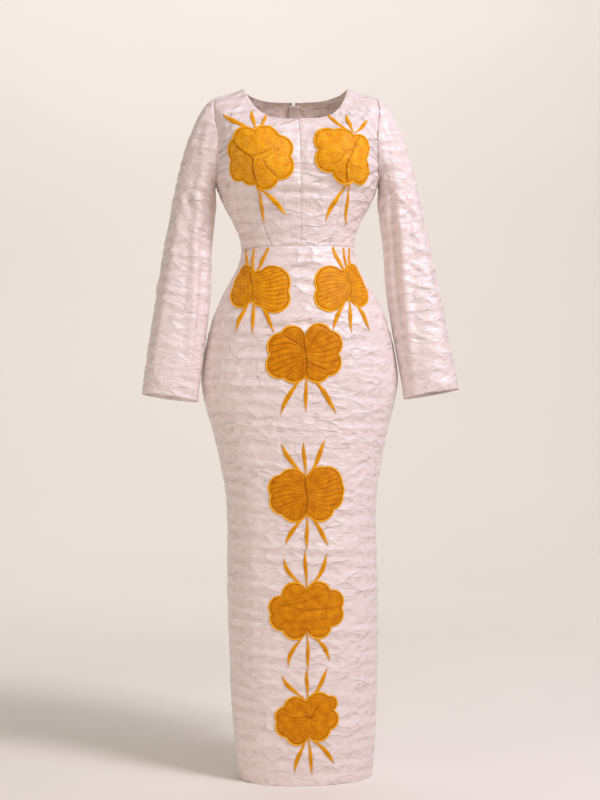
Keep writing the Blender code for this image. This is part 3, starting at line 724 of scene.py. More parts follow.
CREASE_ROUND, CREASE_LEVEL = crease_places()
print(len(CREASE_ROUND), "creases placed by hand")


def lattice(seed, u, v):
    """Smooth noise from 0 to 1 on a square lattice of random numbers."""
    side = 256
    values = np.random.default_rng(seed).random((side, side))
    i, j = np.floor(u).astype(int), np.floor(v).astype(int)
    s, t = u - i, v - j
    s, t = s * s * (3 - 2 * s), t * t * (3 - 2 * t)
    near = (1 - s) * values[i % side, j % side] + s * values[(i + 1) % side, j % side]
    far = (1 - s) * values[i % side, (j + 1) % side] + s * values[(i + 1) % side, (j + 1) % side]
    return (1 - t) * near + t * far


def crumple(u, v):
    """Small crisp ridges over the whole cloth, in two sizes."""
    total = 0.0
    for k, (size, share) in enumerate(((1.0, 1.0), (0.45, CRUMPLE["fine"]))):
        seed = CRUMPLE["seed"] + 10 * k
        patches = u / CRUMPLE["wander_size"], v / CRUMPLE["wander_size"]
        wander = CRUMPLE["wander"] * lattice(seed + 1, *patches)
        a, b = u / (CRUMPLE["across"] * size) + wander, v / (CRUMPLE["up"] * size) + 2 * wander
        ridge = 1 - np.abs(2 * lattice(seed + 2, a, b) - 1)
        strength = CRUMPLE["least"] + CRUMPLE["varies"] * lattice(seed + 3, u / 120, v / 100)
        total = total + share * strength * (ridge**3 - CRUMPLE["sink"])
    return CRUMPLE["out"] * total


def crest(rows, i, run, off, dip):
    """One crease of a table: a ridge with a dip beside it, which fades out at both ends."""
    wide = rows["wide"][i]
    across = bell(off / wide) - dip * bell((off + CREST["aside"] * wide) / (CREST["broad"] * wide))
    return DEPTH * rows["out"][i] * across * np.exp(-((run / rows["run"][i]) ** 4))


def relief(around, level):
    """How far creases and crumples lift the cloth off the smooth form."""
    out = np.zeros(np.broadcast(around, level).shape)
    for i in range(len(CREASE_ROUND)):
        apart = (around - CREASE_ROUND[i] + 180) % 360 - 180
        run, off = line_up(apart, level, 0.0, CREASE_LEVEL[i], CREASES["slope"][i] * CREASES["face"][i])
        bend = run**2 / (CREST["bend"] * CREASES["run"][i])
        out += crest(CREASES, i, run, off + bend, CREST["dip"])
    for around_at, low, high, height in zip(*PRESSED.values()):
        off = np.radians(around - around_at) * section("half", level)
        ends = np.clip(np.minimum(level - low, high - level) / PRESS["fade"], 0, 1)
        out += height * ends * bell(off / PRESS["wide"])
    loose = crumple(np.radians(around) * section("half", level), height_of(around, level))
    return out + loose * calm(around, level)


# %% [markdown]
# ## The cut pieces of the body
# A tailor cuts this dress as a one-piece skirt front, two skirt backs, and a bodice of centre fronts,
# side fronts and backs, joined by a seam over the bust. Every piece becomes a fine grid on the surface,
# about 4 mm to a square, so that creases have something to bend. Its edges turn in where they are sewn.
# Under the flowers the cloth is held flat by their stitches, which the function calm allows for.

# %% Flowers' places
# x and h place the middle or the pinch of each flower. The scallops are circles about that point:
# across, up and radius, and base is the least reach between them. Leaves run from a root to a tip, given
# from the same point with their width, and bow outwards by a share of their spread. Tucks are folds sewn
# into the padding: from one place to another, how deep and how wide. ribs counts those of a pinched wing,
# and cut marks a flower whose upper leaves end at the waist seam.
FLOWERS = {
    "flower_bust_l": dict(
        x=-84, h=1253, base=47, ribs=0, bow=0.1,
        scallops=((-26, 31, 29), (14, 31, 31), (44, 13, 27), (44, -22, 28), (15, -44, 25), (-15, -34, 25),
                  (-43, -23, 27), (-46, 11, 26)),
        leaves=((-8, 52, -68, 90, 9), (-5, 52, -9, 98, 9), (-1, 52, 22, 90, 7),
                (-3, -60, 13, -132, 6.5), (-5, -62, 58, -118, 9.5)),
        tucks=((-54, 30, -12, -12, 1.5, 2.0), (-12, -12, -2, -66, 1.8, 2.0), (-10, -2, 22, 6, 1.0, 2.6),
               (0, -12, 40, 8, 0.9, 2.6), (22, 6, 40, 30, 0.7, 2.4), (10, -14, 34, -46, 1.0, 2.4),
               (-46, 16, -22, 12, 0.5, 2.6), (-30, 44, -14, 30, 0.5, 2.2)),
    ),
    "flower_bust_r": dict(
        x=87, h=1255, base=43, ribs=0, bow=0.1,
        scallops=((-34, 27, 27), (-5, 24, 30), (33, 10, 31), (36, -31, 29), (1, -34, 27), (-32, -11, 28)),
        leaves=((17, 42, -32, 92, 7), (19, 44, 10, 86, 9), (22, 42, 54, 74, 9),
                (9, -56, -40, -132, 9), (11, -56, 6, -140, 7.5)),
        tucks=((36, 36, 6, -14, 1.6, 2.0), (6, -14, 2, -58, 1.8, 2.0), (-22, -22, 4, -2, 1.1, 2.6),
               (-2, 4, 30, 14, 0.7, 2.6), (8, -20, 34, -30, 0.7, 2.4), (12, 34, 40, 34, 0.6, 2.2)),
    ),
    "flower_hip_l": dict(
        x=-98, h=997, base=22, ribs=8, bow=0.12, cut=True,
        scallops=((46, 5, 34), (44, -26, 33), (18, 2, 28), (18, -18, 27), (-15, 20, 24), (-23, 2, 27),
                  (-27, -18, 28)),
        leaves=((-2, 20, -16, 75, 7), (1, 20, 8, 75, 7), (5, 22, 42, 75, 8),
                (-4, -26, -36, -94, 9), (1, -24, 0, -98, 8), (5, -26, 42, -96, 9)),
        tucks=((-2, -26, -2, 24, 1.3, 2.6),),
    ),
    "flower_hip_r": dict(
        x=95, h=997, base=22, ribs=8, bow=0.12, cut=True,
        scallops=((-42, 6, 32), (-43, -26, 31), (-18, 4, 26), (-18, -14, 26), (12, 21, 23), (19, 2, 26),
                  (25, -19, 27)),
        leaves=((-5, 22, -36, 76, 9), (-1, 20, -10, 76, 7), (2, 20, 8, 76, 7),
                (-5, -26, -36, -94, 9), (-1, -24, 2, -98, 8), (4, -26, 44, -94, 9)),
        tucks=((2, -26, 2, 22, 1.3, 2.6),),
    ),
    "flower_centre_1": dict(
        x=3, h=859, base=35, ribs=7, bow=0.1,
        scallops=((-25, 30, 26), (29, 33, 27), (-48, 13, 28), (-51, -23, 28), (-23, -32, 28), (23, -32, 28),
                  (46, -19, 28), (50, 18, 27)),
        leaves=((-4, -41, -50, -122, 9.5), (0, -41, 1, -117, 8), (4, -41, 62, -122, 10)),
        tucks=((0, -44, 0, 34, 1.8, 2.0), (0, 4, -42, 38, 1.0, 2.2), (0, 6, 32, 42, 1.0, 2.2),
               (0, -12, -40, -38, 1.0, 2.2), (0, -12, 40, -38, 1.0, 2.2)),
    ),
    "flower_centre_2": dict(
        x=2, h=580, base=30, ribs=8, bow=0.1,
        scallops=((-28, 20, 31), (-50, 12, 27), (-48, -15, 27), (-25, -29, 28), (27, -27, 30), (50, -8, 26),
                  (58, 6, 21), (42, 22, 32), (30, 22, 32)),
        leaves=((-4, 33, -48, 100, 9.5), (-1, 33, -4, 103, 8), (3, 33, 39, 108, 9.5),
                (-4, -42, -43, -101, 9), (0, -42, 0, -111, 8), (4, -42, 42, -104, 9)),
        tucks=((-2, -36, 0, 30, 1.8, 3.0), (16, -36, 2, -10, 0.7, 2.2)),
    ),
    "flower_centre_3": dict(
        x=-1, h=349, base=43, ribs=0, bow=0.24,
        scallops=((-24, 31, 26), (24, 32, 26), (53, 16, 24), (52, -10, 24), (24, -32, 26), (-24, -33, 26),
                  (-50, -16, 25), (-53, 6, 24)),
        leaves=((-3, 44, -43, 104, 8.5), (0, 44, -1, 120, 7.5), (3, 44, 42, 111, 9),
                (-3, -46, -38, -112, 8.5), (0, -46, 2, -118, 7.5), (3, -46, 45, -102, 8.5)),
        tucks=((-44, 10, 34, 26, 0.9, 2.8), (-36, 12, -18, 2, 0.8, 2.6), (-18, 2, 48, 0, 1.0, 2.6),
               (-40, -22, 46, -20, 0.8, 2.6), (-28, -36, 40, -38, 0.6, 2.2), (-30, 30, 20, 44, 0.5, 2.4)),
    ),
    "flower_centre_4": dict(
        x=-2, h=133, base=39, ribs=0, bow=0.14,
        scallops=((-24, 22, 24), (23, 28, 26), (46, 30, 16), (42, -2, 22), (21, -20, 26), (-21, -29, 24),
                  (-43, -15, 22), (-44, 4, 22)),
        leaves=((-3, 38, -50, 87, 8.5), (0, 38, 0, 101, 7.5), (3, 38, 41, 100, 8.5),
                (-2, -38, -27, -106, 8.5), (0, -38, 8, -110, 7.5), (3, -38, 53, -91, 9)),
        tucks=((-40, 6, 4, 2, 0.9, 2.2), (4, 2, 20, 20, 1.3, 2.2), (4, 2, 34, -8, 0.8, 2.2),
               (2, 0, -26, -34, 0.7, 2.2), (4, 0, 20, -36, 0.7, 2.2), (-20, 34, 0, 6, 0.7, 2.2),
               (4, 6, 6, 40, 0.6, 2.2)),
    ),
}
FLOWER_ROUND = {name: [float(v) for v in locate(spec["x"], spec["h"])] for name, spec in FLOWERS.items()}
# How far past its scallops a flower holds the cloth, how much of the crumple it takes out and how sharply
# that ends, and the same for the place where the sleeves hang close to the hips.
CALM = {"past": 22.0, "held": 0.85, "sharp": 9.0, "arm_held": 0.7, "arm_level": 820.0, "arm_wide": (25.0, 70.0)}


def calm(around, level):
    """1 on free cloth, falling to near 0 where a flower is sewn down, and where the sleeves hang close."""
    free = 1.0
    for name, (flower_round, flower_level) in FLOWER_ROUND.items():
        scallops = np.array(FLOWERS[name]["scallops"])
        middle, half = scallops[:, :2].mean(axis=0), np.ptp(scallops[:, :2], axis=0) / 2 + CALM["past"]
        across = np.radians(around - flower_round) * section("half", flower_level)
        reach = ((across - middle[0]) / half[0]) ** 2 + ((level - flower_level - middle[1]) / half[1]) ** 2
        free = free * (1 - CALM["held"] * fade((reach - 1) * CALM["sharp"]))
    wide, tall = CALM["arm_wide"]
    near_arm = np.exp(-(((np.abs(around) - 90) / wide) ** 2) - ((level - CALM["arm_level"]) / tall) ** 2)
    return free * (1 - CALM["arm_held"] * near_arm)


# %% Shells from grids


def give_map(mesh, corners):
    """The cloth's own UV map, in metres, from a place in millimetres for each corner of a face."""
    mesh.uv_layers.new(name="cloth").data.foreach_set("uv", (corners * MM).astype(np.float32).ravel())


def grid_mesh(name, points, uv, closed=False):
    """A mesh from rows of points, with the cloth's own UV map."""
    rows, columns = points.shape[:2]
    across = columns if closed else columns - 1
    i, j = np.meshgrid(np.arange(rows - 1), np.arange(across), indexing="ij")
    k = (j + 1) % columns
    faces = np.stack([i * columns + j, i * columns + k, (i + 1) * columns + k, (i + 1) * columns + j], axis=-1)
    mesh = bpy.data.meshes.new(name)
    mesh.from_pydata(placed(points.reshape(-1, 3)).tolist(), [], faces.reshape(-1, 4).tolist())
    give_map(mesh, np.stack([uv[i, j], uv[i, j + 1], uv[i + 1, j + 1], uv[i + 1, j]], axis=-2))
    mesh.shade_smooth()
    return into_scene(name, mesh)


def thicken(made, thick, even=True):
    """A real thickness, inwards from the face."""
    wall = made.modifiers.new("thickness", "SOLIDIFY")
    wall.thickness, wall.offset, wall.use_even_offset = thick * MM, -1, even


CLOTH = {
    "thick": 0.9, "square": 4.2, "turn_in": 1.0, "turn_wide": 2.2,
    "pucker": 0.55, "pucker_step": 8.5, "pucker_deep": 9.0, "pucker_from": 2.5,
}
ALL_EDGES = ("left", "right", "bottom", "top")


def shell(name, points, uv, closed=False, flip=False):
    """A finished piece of cloth: the grid with a real thickness inwards."""
    if flip:
        points, uv = points[:, ::-1], uv[:, ::-1]
    made = grid_mesh(name + "_cloth", points, uv, closed)
    made.data.materials.append(damask)
    thicken(made, CLOTH["thick"])
    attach(made, "dress")
    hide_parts(name)
    return made


def distances(points):
    """How far each grid point is from the four edges: left, right, bottom and top."""
    row = np.linalg.norm(np.diff(points, axis=1), axis=2)
    up = np.linalg.norm(np.diff(points, axis=0), axis=2)
    left = np.concatenate([np.zeros((len(points), 1)), np.cumsum(row, axis=1)], axis=1)
    bottom = np.concatenate([np.zeros((1, points.shape[1])), np.cumsum(up, axis=0)], axis=0)
    return left, left[:, -1:] - left, bottom, bottom[-1:] - bottom


def sewn(points, edges, seed):
    """How far seams draw the cloth in near the edges that are sewn, with their small puckers."""
    left, right, bottom, top = distances(points)
    out = np.zeros(points.shape[:2])
    ways = zip(ALL_EDGES, (left, right, bottom, top), (bottom, bottom, left, left))
    for k, (name, off, along) in enumerate(ways):
        if name not in edges:
            continue
        out -= CLOTH["turn_in"] * bell(off / CLOTH["turn_wide"])
        wave = lattice(seed + k, along / CLOTH["pucker_step"], np.full_like(along, 0.5)) - 0.5
        puckers = 2 * CLOTH["pucker"] * wave * np.exp(-off / CLOTH["pucker_deep"])
        out += puckers * (1 - bell(off / CLOTH["pucker_from"]))
    return out


def refine(grid):
    """Finer rows and columns close to the edges, where the cloth turns in."""

    def steps(count):
        near = np.array([0, 0.12, 0.3, 0.6])
        return np.unique(np.concatenate([near, np.arange(1, count - 1), count - 1 - near]))

    rows, columns = steps(grid.shape[0]), steps(grid.shape[1])
    i, j = np.minimum(rows.astype(int), grid.shape[0] - 2), np.minimum(columns.astype(int), grid.shape[1] - 2)
    s, t = (rows - i)[:, None, None], (columns - j)[None, :, None]
    low = grid[i][:, j] * (1 - t) + grid[i][:, j + 1] * t
    high = grid[i + 1][:, j] * (1 - t) + grid[i + 1][:, j + 1] * t
    return low * (1 - s) + high * s


def body_piece(name, grid, edges, start=0.0, side=1, seed=0):
    """A cut piece of the body as a shell. grid holds angles and levels for the viewer's right side."""
    grid = refine(grid)
    around, level = side * grid[..., 0], grid[..., 1]
    points, out = skin(around, level)
    off = relief(around, level) + sewn(points, edges, seed)
    left, _, bottom, _ = distances(points)
    uv = np.stack([side * (start + left), bottom + points[:1, :, 2]], axis=-1)
    return shell(name, points + off[..., None] * out, uv, flip=side < 0)


# %% Edges of the pieces
ARMHOLE = {"front": 28.0, "back": 27.0}
PRINCESS = table("across height", "58 1075  74 1120  84 1170  90 1215  97 1246  116 1270  138 1284")
CENTRE_BREAK = 1322.0
ZIP = {"half_gap": 2.6, "end": 920.0, "top": 1439.0}
SLIT = {"top": 430.0, "half_gap": 11.0}
FINE = {"seam": 52, "back": 32, "quarter": 24, "neck": 24, "shoulder": 14, "skirt": 124, "skirt_back": 65}


def armhole(turn, share=1.0):
    """Angle and level round the armhole: turn 0 at the underarm, 90 in front, 180 at the shoulder."""
    turn = np.radians(turn)
    middle, half = (UNDERARM + SHOULDER_TIP) / 2, (SHOULDER_TIP - UNDERARM) / 2
    reach = np.where(np.sin(turn) > 0, ARMHOLE["front"], ARMHOLE["back"])
    return np.stack([90 - share * reach * np.sin(turn), middle - share * half * np.cos(turn)], axis=-1)


def spaced(curve, count):
    """A smooth line through a curve's points, as count + 1 points evenly along it."""
    along = np.concatenate([[0], np.cumsum(np.linalg.norm(np.diff(curve, axis=0), axis=1))])
    at = np.linspace(0, along[-1], count + 1)
    return np.stack([smooth(along, curve[:, k], at) for k in range(curve.shape[1])], axis=1)


def beside(curve, gap):
    """A flat curve moved sideways, to its right as it runs where gap is positive."""
    run = np.gradient(curve, axis=0)
    run /= np.linalg.norm(run, axis=1, keepdims=True)
    return curve + gap * np.stack([run[:, 1], -run[:, 0]], axis=1)


def patch(bottom, top, left, right, fade=4):
    """The grid of angles and levels between four edges that meet at their ends."""
    s = np.linspace(0, 1, len(bottom))[None, :, None]
    t = np.linspace(0, 1, len(left))[:, None, None]
    rows = (1 - s) * left[:, None] + s * right[:, None]
    low = bottom - ((1 - s) * bottom[0] + s * bottom[-1])
    high = top - ((1 - s) * top[0] + s * top[-1])
    return rows + (1 - t) ** fade * low + t**fade * high


def hoop_edge(start, end, level, count):
    around = np.linspace(start, end, count + 1)
    return np.stack([around, np.full(count + 1, float(level))], axis=1)


def side_seam(levels, gap):
    return np.stack([90 - np.degrees(gap / section("ahead", levels)), levels], axis=1)


def back_edge(levels):
    """The centre back's edge: open for the zip, closed below it, and parted at the walking slit."""
    slit = np.clip((SLIT["top"] - levels) / SLIT["top"], 0, 1) * SLIT["half_gap"]
    half = np.where(levels >= ZIP["end"], ZIP["half_gap"], SEAM_GAP / 2 + slit)
    return np.stack([180 - angle_at(half, levels), levels], axis=1)


def princess_seam(gap):
    """The seam over the bust as angles and levels, moved sideways by gap."""
    end = body(*armhole(90.0))[[0, 2]]
    line = np.concatenate([np.stack([PRINCESS["across"], PRINCESS["height"]], axis=1), [end]])
    line = beside(spaced(line, FINE["seam"]), gap)
    line[0, 1] = WAIST + SEAM_GAP / 2
    return np.stack(locate(line[:, 0], line[:, 1]), axis=1)


def yoke_piece(centre, seam, hole, gap):
    """A piece from the waist to the neck and shoulder, which ends at a seam and the armhole above it."""
    shoulder = side_seam(np.linspace(NECK_LEVEL, SHOULDER_TIP, FINE["shoulder"] + 1), gap)
    neck = hoop_edge(centre[-1, 0], shoulder[0, 0], NECK_LEVEL, FINE["neck"])
    top = np.concatenate([neck[:-1], shoulder])
    hole[-1] = shoulder[-1]
    side = np.concatenate([seam, hole[1:]])
    bottom = hoop_edge(centre[0, 0], seam[0, 0], seam[0, 1], len(top) - 1)
    return patch(bottom, top, centre, side)


# %% Skirt and bodice


def make_skirt():
    low_row = np.arange(0, WAIST - SEAM_GAP / 2, CLOTH["square"])
    levels = np.append(low_row[:-1], WAIST - SEAM_GAP / 2)
    share = np.linspace(0, 1, FINE["skirt"] + 1)[None, :, None]
    right, before = side_seam(levels, SEAM_GAP / 2), side_seam(levels, -SEAM_GAP / 2)
    left = right * (-1, 1)
    front = left[:, None] * (1 - share) + right[:, None] * share
    body_piece("skirt_front", front, ("left", "right", "top"), seed=21)
    share = np.linspace(0, 1, FINE["skirt_back"] + 1)[None, :, None]
    for name, side in (("skirt_back_l", -1), ("skirt_back_r", 1)):
        grid = before[:, None] * (1 - share) + back_edge(levels)[:, None] * share
        body_piece(name, grid, ("left", "right", "top"), 240.0, side, 31 + side)


def make_bodice():
    low, quarter = WAIST + SEAM_GAP / 2, FINE["quarter"]
    right = side_seam(np.linspace(low, UNDERARM, FINE["seam"] + 1), SEAM_GAP / 2)
    left = princess_seam(SEAM_GAP / 2)
    bottom = hoop_edge(left[0, 0], right[0, 0], low, quarter)
    side_front = patch(bottom, armhole(np.linspace(90, 0, quarter + 1)), left, right)

    lower = np.linspace(low, CENTRE_BREAK, FINE["seam"] + 1)
    levels = np.concatenate([lower, np.linspace(CENTRE_BREAK, NECK_LEVEL, quarter + 1)[1:]])
    centre = np.stack([angle_at(SEAM_GAP / 2, levels), levels], axis=1)
    hole = armhole(np.linspace(90, 180, quarter + 1))
    centre_front = yoke_piece(centre, princess_seam(-SEAM_GAP / 2), hole, SEAM_GAP / 2)

    seam = side_seam(np.linspace(low, UNDERARM, FINE["back"] + 1), -SEAM_GAP / 2)
    centre = back_edge(np.linspace(low, NECK_LEVEL, FINE["back"] + 2 * quarter + 1))
    back = yoke_piece(centre, seam, armhole(np.linspace(360, 180, 2 * quarter + 1)), -SEAM_GAP / 2)
    for letter, side in (("l", -1), ("r", 1)):
        body_piece("bodice_front_" + letter, centre_front, ALL_EDGES, 0.0, side, 41 + side)
        body_piece("bodice_side_" + letter, side_front, ALL_EDGES, 80.0, side, 51 + side)
        body_piece("bodice_back_" + letter, back, ALL_EDGES, 0.0, -side, 61 + side)


make_skirt()
make_bodice()

# %% [markdown]
# ## Sleeves
# Each sleeve is one tube with a seam inside the arm. Its cap turns from the armhole down into the arm
# on a Hermite curve, and the arm follows a table of sections. A tube hangs in long folds that run from
# the cap to the cuff, with short sharp creases where the elbow has bent.

# %% Sleeve sections and creases
ARM = table("height across back half deep", """
    1168 210 2 44 47
    1133 216 3 45.5 48
    1097 222 3 47 48.5
    1060 227 1 49.5 48.5
    1030 230 -3 52.5 48
    1000 233 -8 54.5 47.5
    970 237 -13 55.5 47
    937 242 -18 56 46
    904 247 -23 56.5 45
    870 252 -28 56.5 44
    838 257 -32 56.5 43
    806 262 -35 56.5 42
    774 266 -38 56.5 41
""")
CAP = {"slope": 0.5, "leave_low": 20, "leave_top": 150, "meet_low": 40, "meet_top": 110}
CUFF_TILT = 0.03
SLEEVE = {"cap_rows": 34, "arm_rows": 112, "columns": 108, "hem": 18.0}
ARM_ROUND = 2 * math.pi * 52  # the girth that distances round a sleeve are measured on
# How creases fade towards the armhole and the inner seam, how the cap's gathers wave, and the seam.
ARM_SHAPE = {
    "ease": 14.0, "inside": 60.0, "creases_held": 0.8, "crumple": 1.15, "crumple_held": 0.75, "crumple_from": 6.0,
    "gather": 2.4, "gather_step": 8.0, "gather_long": 60.0, "gather_fade": 15.0, "gather_from": 3.0,
    "seam": 0.8, "seam_wide": 1.8,
}
HEM_SHAPE = {"proud": 0.35, "soft": 0.8, "dip": 0.45, "wide": 1.6}
# turn is 0 inside the arm, 90 in front, 180 outside and 270 behind. height, slope, run, wide and out
# are as for the body's creases, and side is -1 or 1 for the viewer's left or right sleeve, 0 for both.
ARM_CREASES = table("side turn height slope run wide out", """
    0 50 1010 88 200 9 -5.5
    0 70 1020 86 210 9 3.2
    0 128 980 92 170 12 2.2
    0 300 1000 88 180 12 1.8
    -1 60 1196 20 28 5 3.0
    -1 70 1180 34 32 5 -1.8
    -1 84 1166 46 34 6 2.2
    -1 112 1150 58 40 6 1.4
    1 64 1206 -10 30 5 2.6
    1 76 1190 -34 34 5 -1.6
    1 92 1172 -52 36 6 2.2
    1 118 1152 -64 40 6 1.5
    0 110 1300 78 36 6 1.5
    0 140 1320 84 34 6 1.2
    0 78 1270 66 32 6 1.6
    -1 96 1098 -18 30 5 1.3
    1 104 1104 22 30 5 1.4
    -1 122 1066 14 30 5 1.5
    1 116 1070 -16 32 5 1.5
    -1 84 1040 26 28 4 1.5
    1 86 1042 -24 28 4 1.6
    -1 130 1020 -20 32 5 1.6
    1 132 1024 18 32 5 1.5
    -1 98 1000 10 28 4 1.3
    1 100 996 -12 28 4 1.4
    -1 146 980 24 30 5 1.4
    1 144 972 -26 30 5 1.5
    -1 90 952 -16 28 4 1.4
    1 94 948 18 28 4 1.4
    -1 126 922 12 30 4 1.3
    1 122 916 -14 30 4 1.4
    -1 92 894 20 28 4 1.3
    1 88 888 -18 28 4 1.3
    -1 140 866 -14 30 4 1.3
    1 138 858 16 30 4 1.3
    -1 100 836 12 28 4 1.2
    1 102 828 -10 28 4 1.3
    0 220 1080 12 36 6 1.6
    0 240 1040 -16 36 6 1.8
    0 216 1010 14 36 5 1.6
    0 250 980 -10 34 5 1.5
    0 214 920 16 34 5 1.3
    0 246 870 -14 34 5 1.3
""")

# %% Sleeves


def arm_frame(heights):
    """The arm's middle line and the ways down it, outwards and ahead, as smooth curves."""
    order = ARM["height"][::-1]
    columns = [smooth(order, ARM[name][::-1], heights) for name in ("across", "back", "half", "deep")]
    middle = np.stack([columns[0], columns[1], heights], axis=1)
    run = np.gradient(middle, axis=0)
    run /= np.linalg.norm(run, axis=1, keepdims=True)
    outwards = np.stack([-run[:, 2], np.zeros(len(run)), run[:, 0]], axis=1)
    outwards[:, 2] += CUFF_TILT * np.clip(1 - (heights - heights[-1]) / 34, 0, 1) ** 2
    ahead = np.cross(outwards, run)
    ahead *= -np.sign(ahead[:, 1:2])
    return middle, run, outwards, ahead, columns[2], columns[3]


def sleeve_form(columns):
    """The smooth sleeve on the viewer's right, from its armhole to its cuff."""
    turns = np.arange(columns) * 360 / columns
    sin, cos = np.sin(np.radians(turns)), np.cos(np.radians(turns))
    heights = np.linspace(ARM["height"][0], ARM["height"][-1], SLEEVE["arm_rows"])
    middle, run, outwards, ahead, half, deep = arm_frame(heights)
    rings = middle[:, None] - outwards[:, None] * (half[:, None] * cos)[..., None]
    rings = rings + ahead[:, None] * (deep[:, None] * sin)[..., None]
    return turns, rings, run


def make_sleeve(name, side):
    turns, rings, run = sleeve_form(SLEEVE["columns"])
    shrink = 1 - ARMHOLE_GAP / ((SHOULDER_TIP - UNDERARM) / 2)
    edge = armhole(turns, shrink)
    start = body(side * edge[:, 0], edge[:, 1]) * (side, 1, 1)
    high = (1 - np.cos(np.radians(turns))) / 2
    leave = CAP["leave_low"] + (CAP["leave_top"] - CAP["leave_low"]) * high
    meet = CAP["meet_low"] + (CAP["meet_top"] - CAP["meet_low"]) * high
    outwards = np.stack([np.ones(len(turns)), np.zeros(len(turns)), -CAP["slope"] * high], axis=1)
    near = np.array([0, 0.006, 0.015, 0.03])
    t = np.concatenate([near, np.linspace(0.05, 1, SLEEVE["cap_rows"])[:-1]])[:, None, None]
    cap = (1 + 2 * t) * (1 - t) ** 2 * start + t**2 * (3 - 2 * t) * rings[0]
    cap = cap + t * (1 - t) ** 2 * leave[:, None] * outwards - t**2 * (1 - t) * meet[:, None] * run[0]
    outer = np.concatenate([cap, rings])
    round_it = np.roll(outer, -1, axis=1) - np.roll(outer, 1, axis=1)
    out = np.cross(np.gradient(outer, axis=0), round_it)
    out /= np.linalg.norm(out, axis=-1, keepdims=True)

    along = np.linalg.norm(np.diff(outer, axis=0), axis=2)
    along = np.concatenate([np.zeros((1, outer.shape[1])), np.cumsum(along, axis=0)], axis=0)
    round_mm = turns / 360 * ARM_ROUND
    off = arm_relief(side, turns[None], outer[..., 2], along, round_mm[None])
    outer = outer + off[..., None] * out
    points = outer * (side, 1, 1)
    u = np.append(round_mm, ARM_ROUND) * side
    above_cuff = along[-1:] - along
    uv = np.stack(np.broadcast_arrays(u[None], np.append(above_cuff, above_cuff[:, :1], axis=1)), axis=-1)
    if side < 0:
        points, uv = points[:, ::-1], uv[:, ::-1]
    made = shell(name, points, uv, closed=True)
    down = along.mean(axis=1)
    hem_row = int(np.argmin(np.abs(down - (down[-1] - SLEEVE["hem"]))))
    return made, (outer[hem_row] + 0.3 * out[hem_row]) * (side, 1, 1)


def arm_relief(side, turn, height, along, round_mm):
    """Creases, gathers at the cap, the seam inside the arm and the turned hem of the cuff."""
    shape = ARM_SHAPE
    total = np.zeros(np.broadcast(turn, height).shape)
    for i in range(len(ARM_CREASES["turn"])):
        if ARM_CREASES["side"][i] * side < 0:
            continue
        across = ((turn - ARM_CREASES["turn"][i] + 180) % 360 - 180) / 360 * ARM_ROUND
        run, off = along_line(across, height - ARM_CREASES["height"][i], ARM_CREASES["slope"][i])
        off = off + 0.2 * lattice(5, run / 40, run / 40) * run / 6
        total += crest(ARM_CREASES, i, run, off, CREST["arm_dip"])
    inside = bell(((turn + 180) % 360 - 180) / shape["inside"])
    total = total * (1 - bell(along / shape["ease"])) * (1 - shape["creases_held"] * inside)
    loose = crumple(round_mm + 500 * side, height) * (1 - shape["crumple_held"] * inside)
    total += shape["crumple"] * loose * (1 - np.exp(-along / shape["crumple_from"]))
    wave = lattice(80 + side, round_mm / shape["gather_step"], along / shape["gather_long"]) - 0.5
    gathers = shape["gather"] * wave * np.exp(-along / shape["gather_fade"])
    total += gathers * (1 - bell(along / shape["gather_from"]))
    total -= CLOTH["turn_in"] * bell(along / CLOTH["turn_wide"])
    seam = np.minimum(round_mm, ARM_ROUND - round_mm)
    total -= shape["seam"] * bell(seam / shape["seam_wide"])
    return total + hem_relief(along[-1:] - along, SLEEVE["hem"])


def hem_relief(off, deep):
    """A turned hem stands a little proud, and dips along its line of stitches."""
    proud = HEM_SHAPE["proud"] * fade((off - deep) / HEM_SHAPE["soft"])
    return proud - HEM_SHAPE["dip"] * bell((off - deep) / HEM_SHAPE["wide"])


sleeve_l, cuff_line_l = make_sleeve("sleeve_l", -1)
sleeve_r, cuff_line_r = make_sleeve("sleeve_r", 1)
print("sleeves", len(sleeve_l.data.polygons), len(sleeve_r.data.polygons))

# %% [markdown]
# ## The flowers
# A flower is first drawn flat. Its outline is the reach of a ring of circles, seen from its middle, which
# gives scallops with crisp notches between them. Rings of points inside it carry the relief: a rounded
# satin cord at the edge, a stitched groove inside that, and a padded field with its petals' valleys, ribs
# and tucks. Then each point is laid on the front by its distance along the cloth, and lifted off it.

# %% Flat flowers
EDGE = {"cord": 4.0, "groove": 4.8, "high": 1.5, "fill": 1.9, "rise": 3.0, "least": 0.35}
PETAL = {"wide": 2.0, "down": 0.45, "deep": 0.2}  # the valleys between petals
RIB = {"pinch": 7.0, "opens": 24.0, "past": 12.0, "down": 0.95, "deep": 0.8, "sharp": 0.22}
TUCK = {"wave": 2.2, "ends": 4.0, "fold": 0.75, "aside": 2.0, "swell": 1.4}
TURNS, RINGS = 236, 24  # points round a flower and rings across its field
OFFSETS = (6.8, 5.6, 4.8, 4.2, 3.5, 2.6, 1.7, 0.9, 0.4, 0.0)
LEAF_SHAPE = table("along wide", "0 0.3  0.12 0.36  0.3 0.62  0.48 0.95  0.6 1.0  0.78 0.72  0.92 0.3  1 0.05")


def reach(scallops, base, turns):
    """How far the outline lies from the middle in each direction."""
    way = np.stack([np.cos(turns), np.sin(turns)], axis=1)
    far = np.full(len(turns), float(base))
    for x, y, radius in scallops:
        along = way @ (x, y)
        inside = radius**2 - (x * x + y * y) + along**2
        far = np.maximum(far, np.where(inside > 0, along + np.sqrt(np.maximum(inside, 0)), 0))
    return far


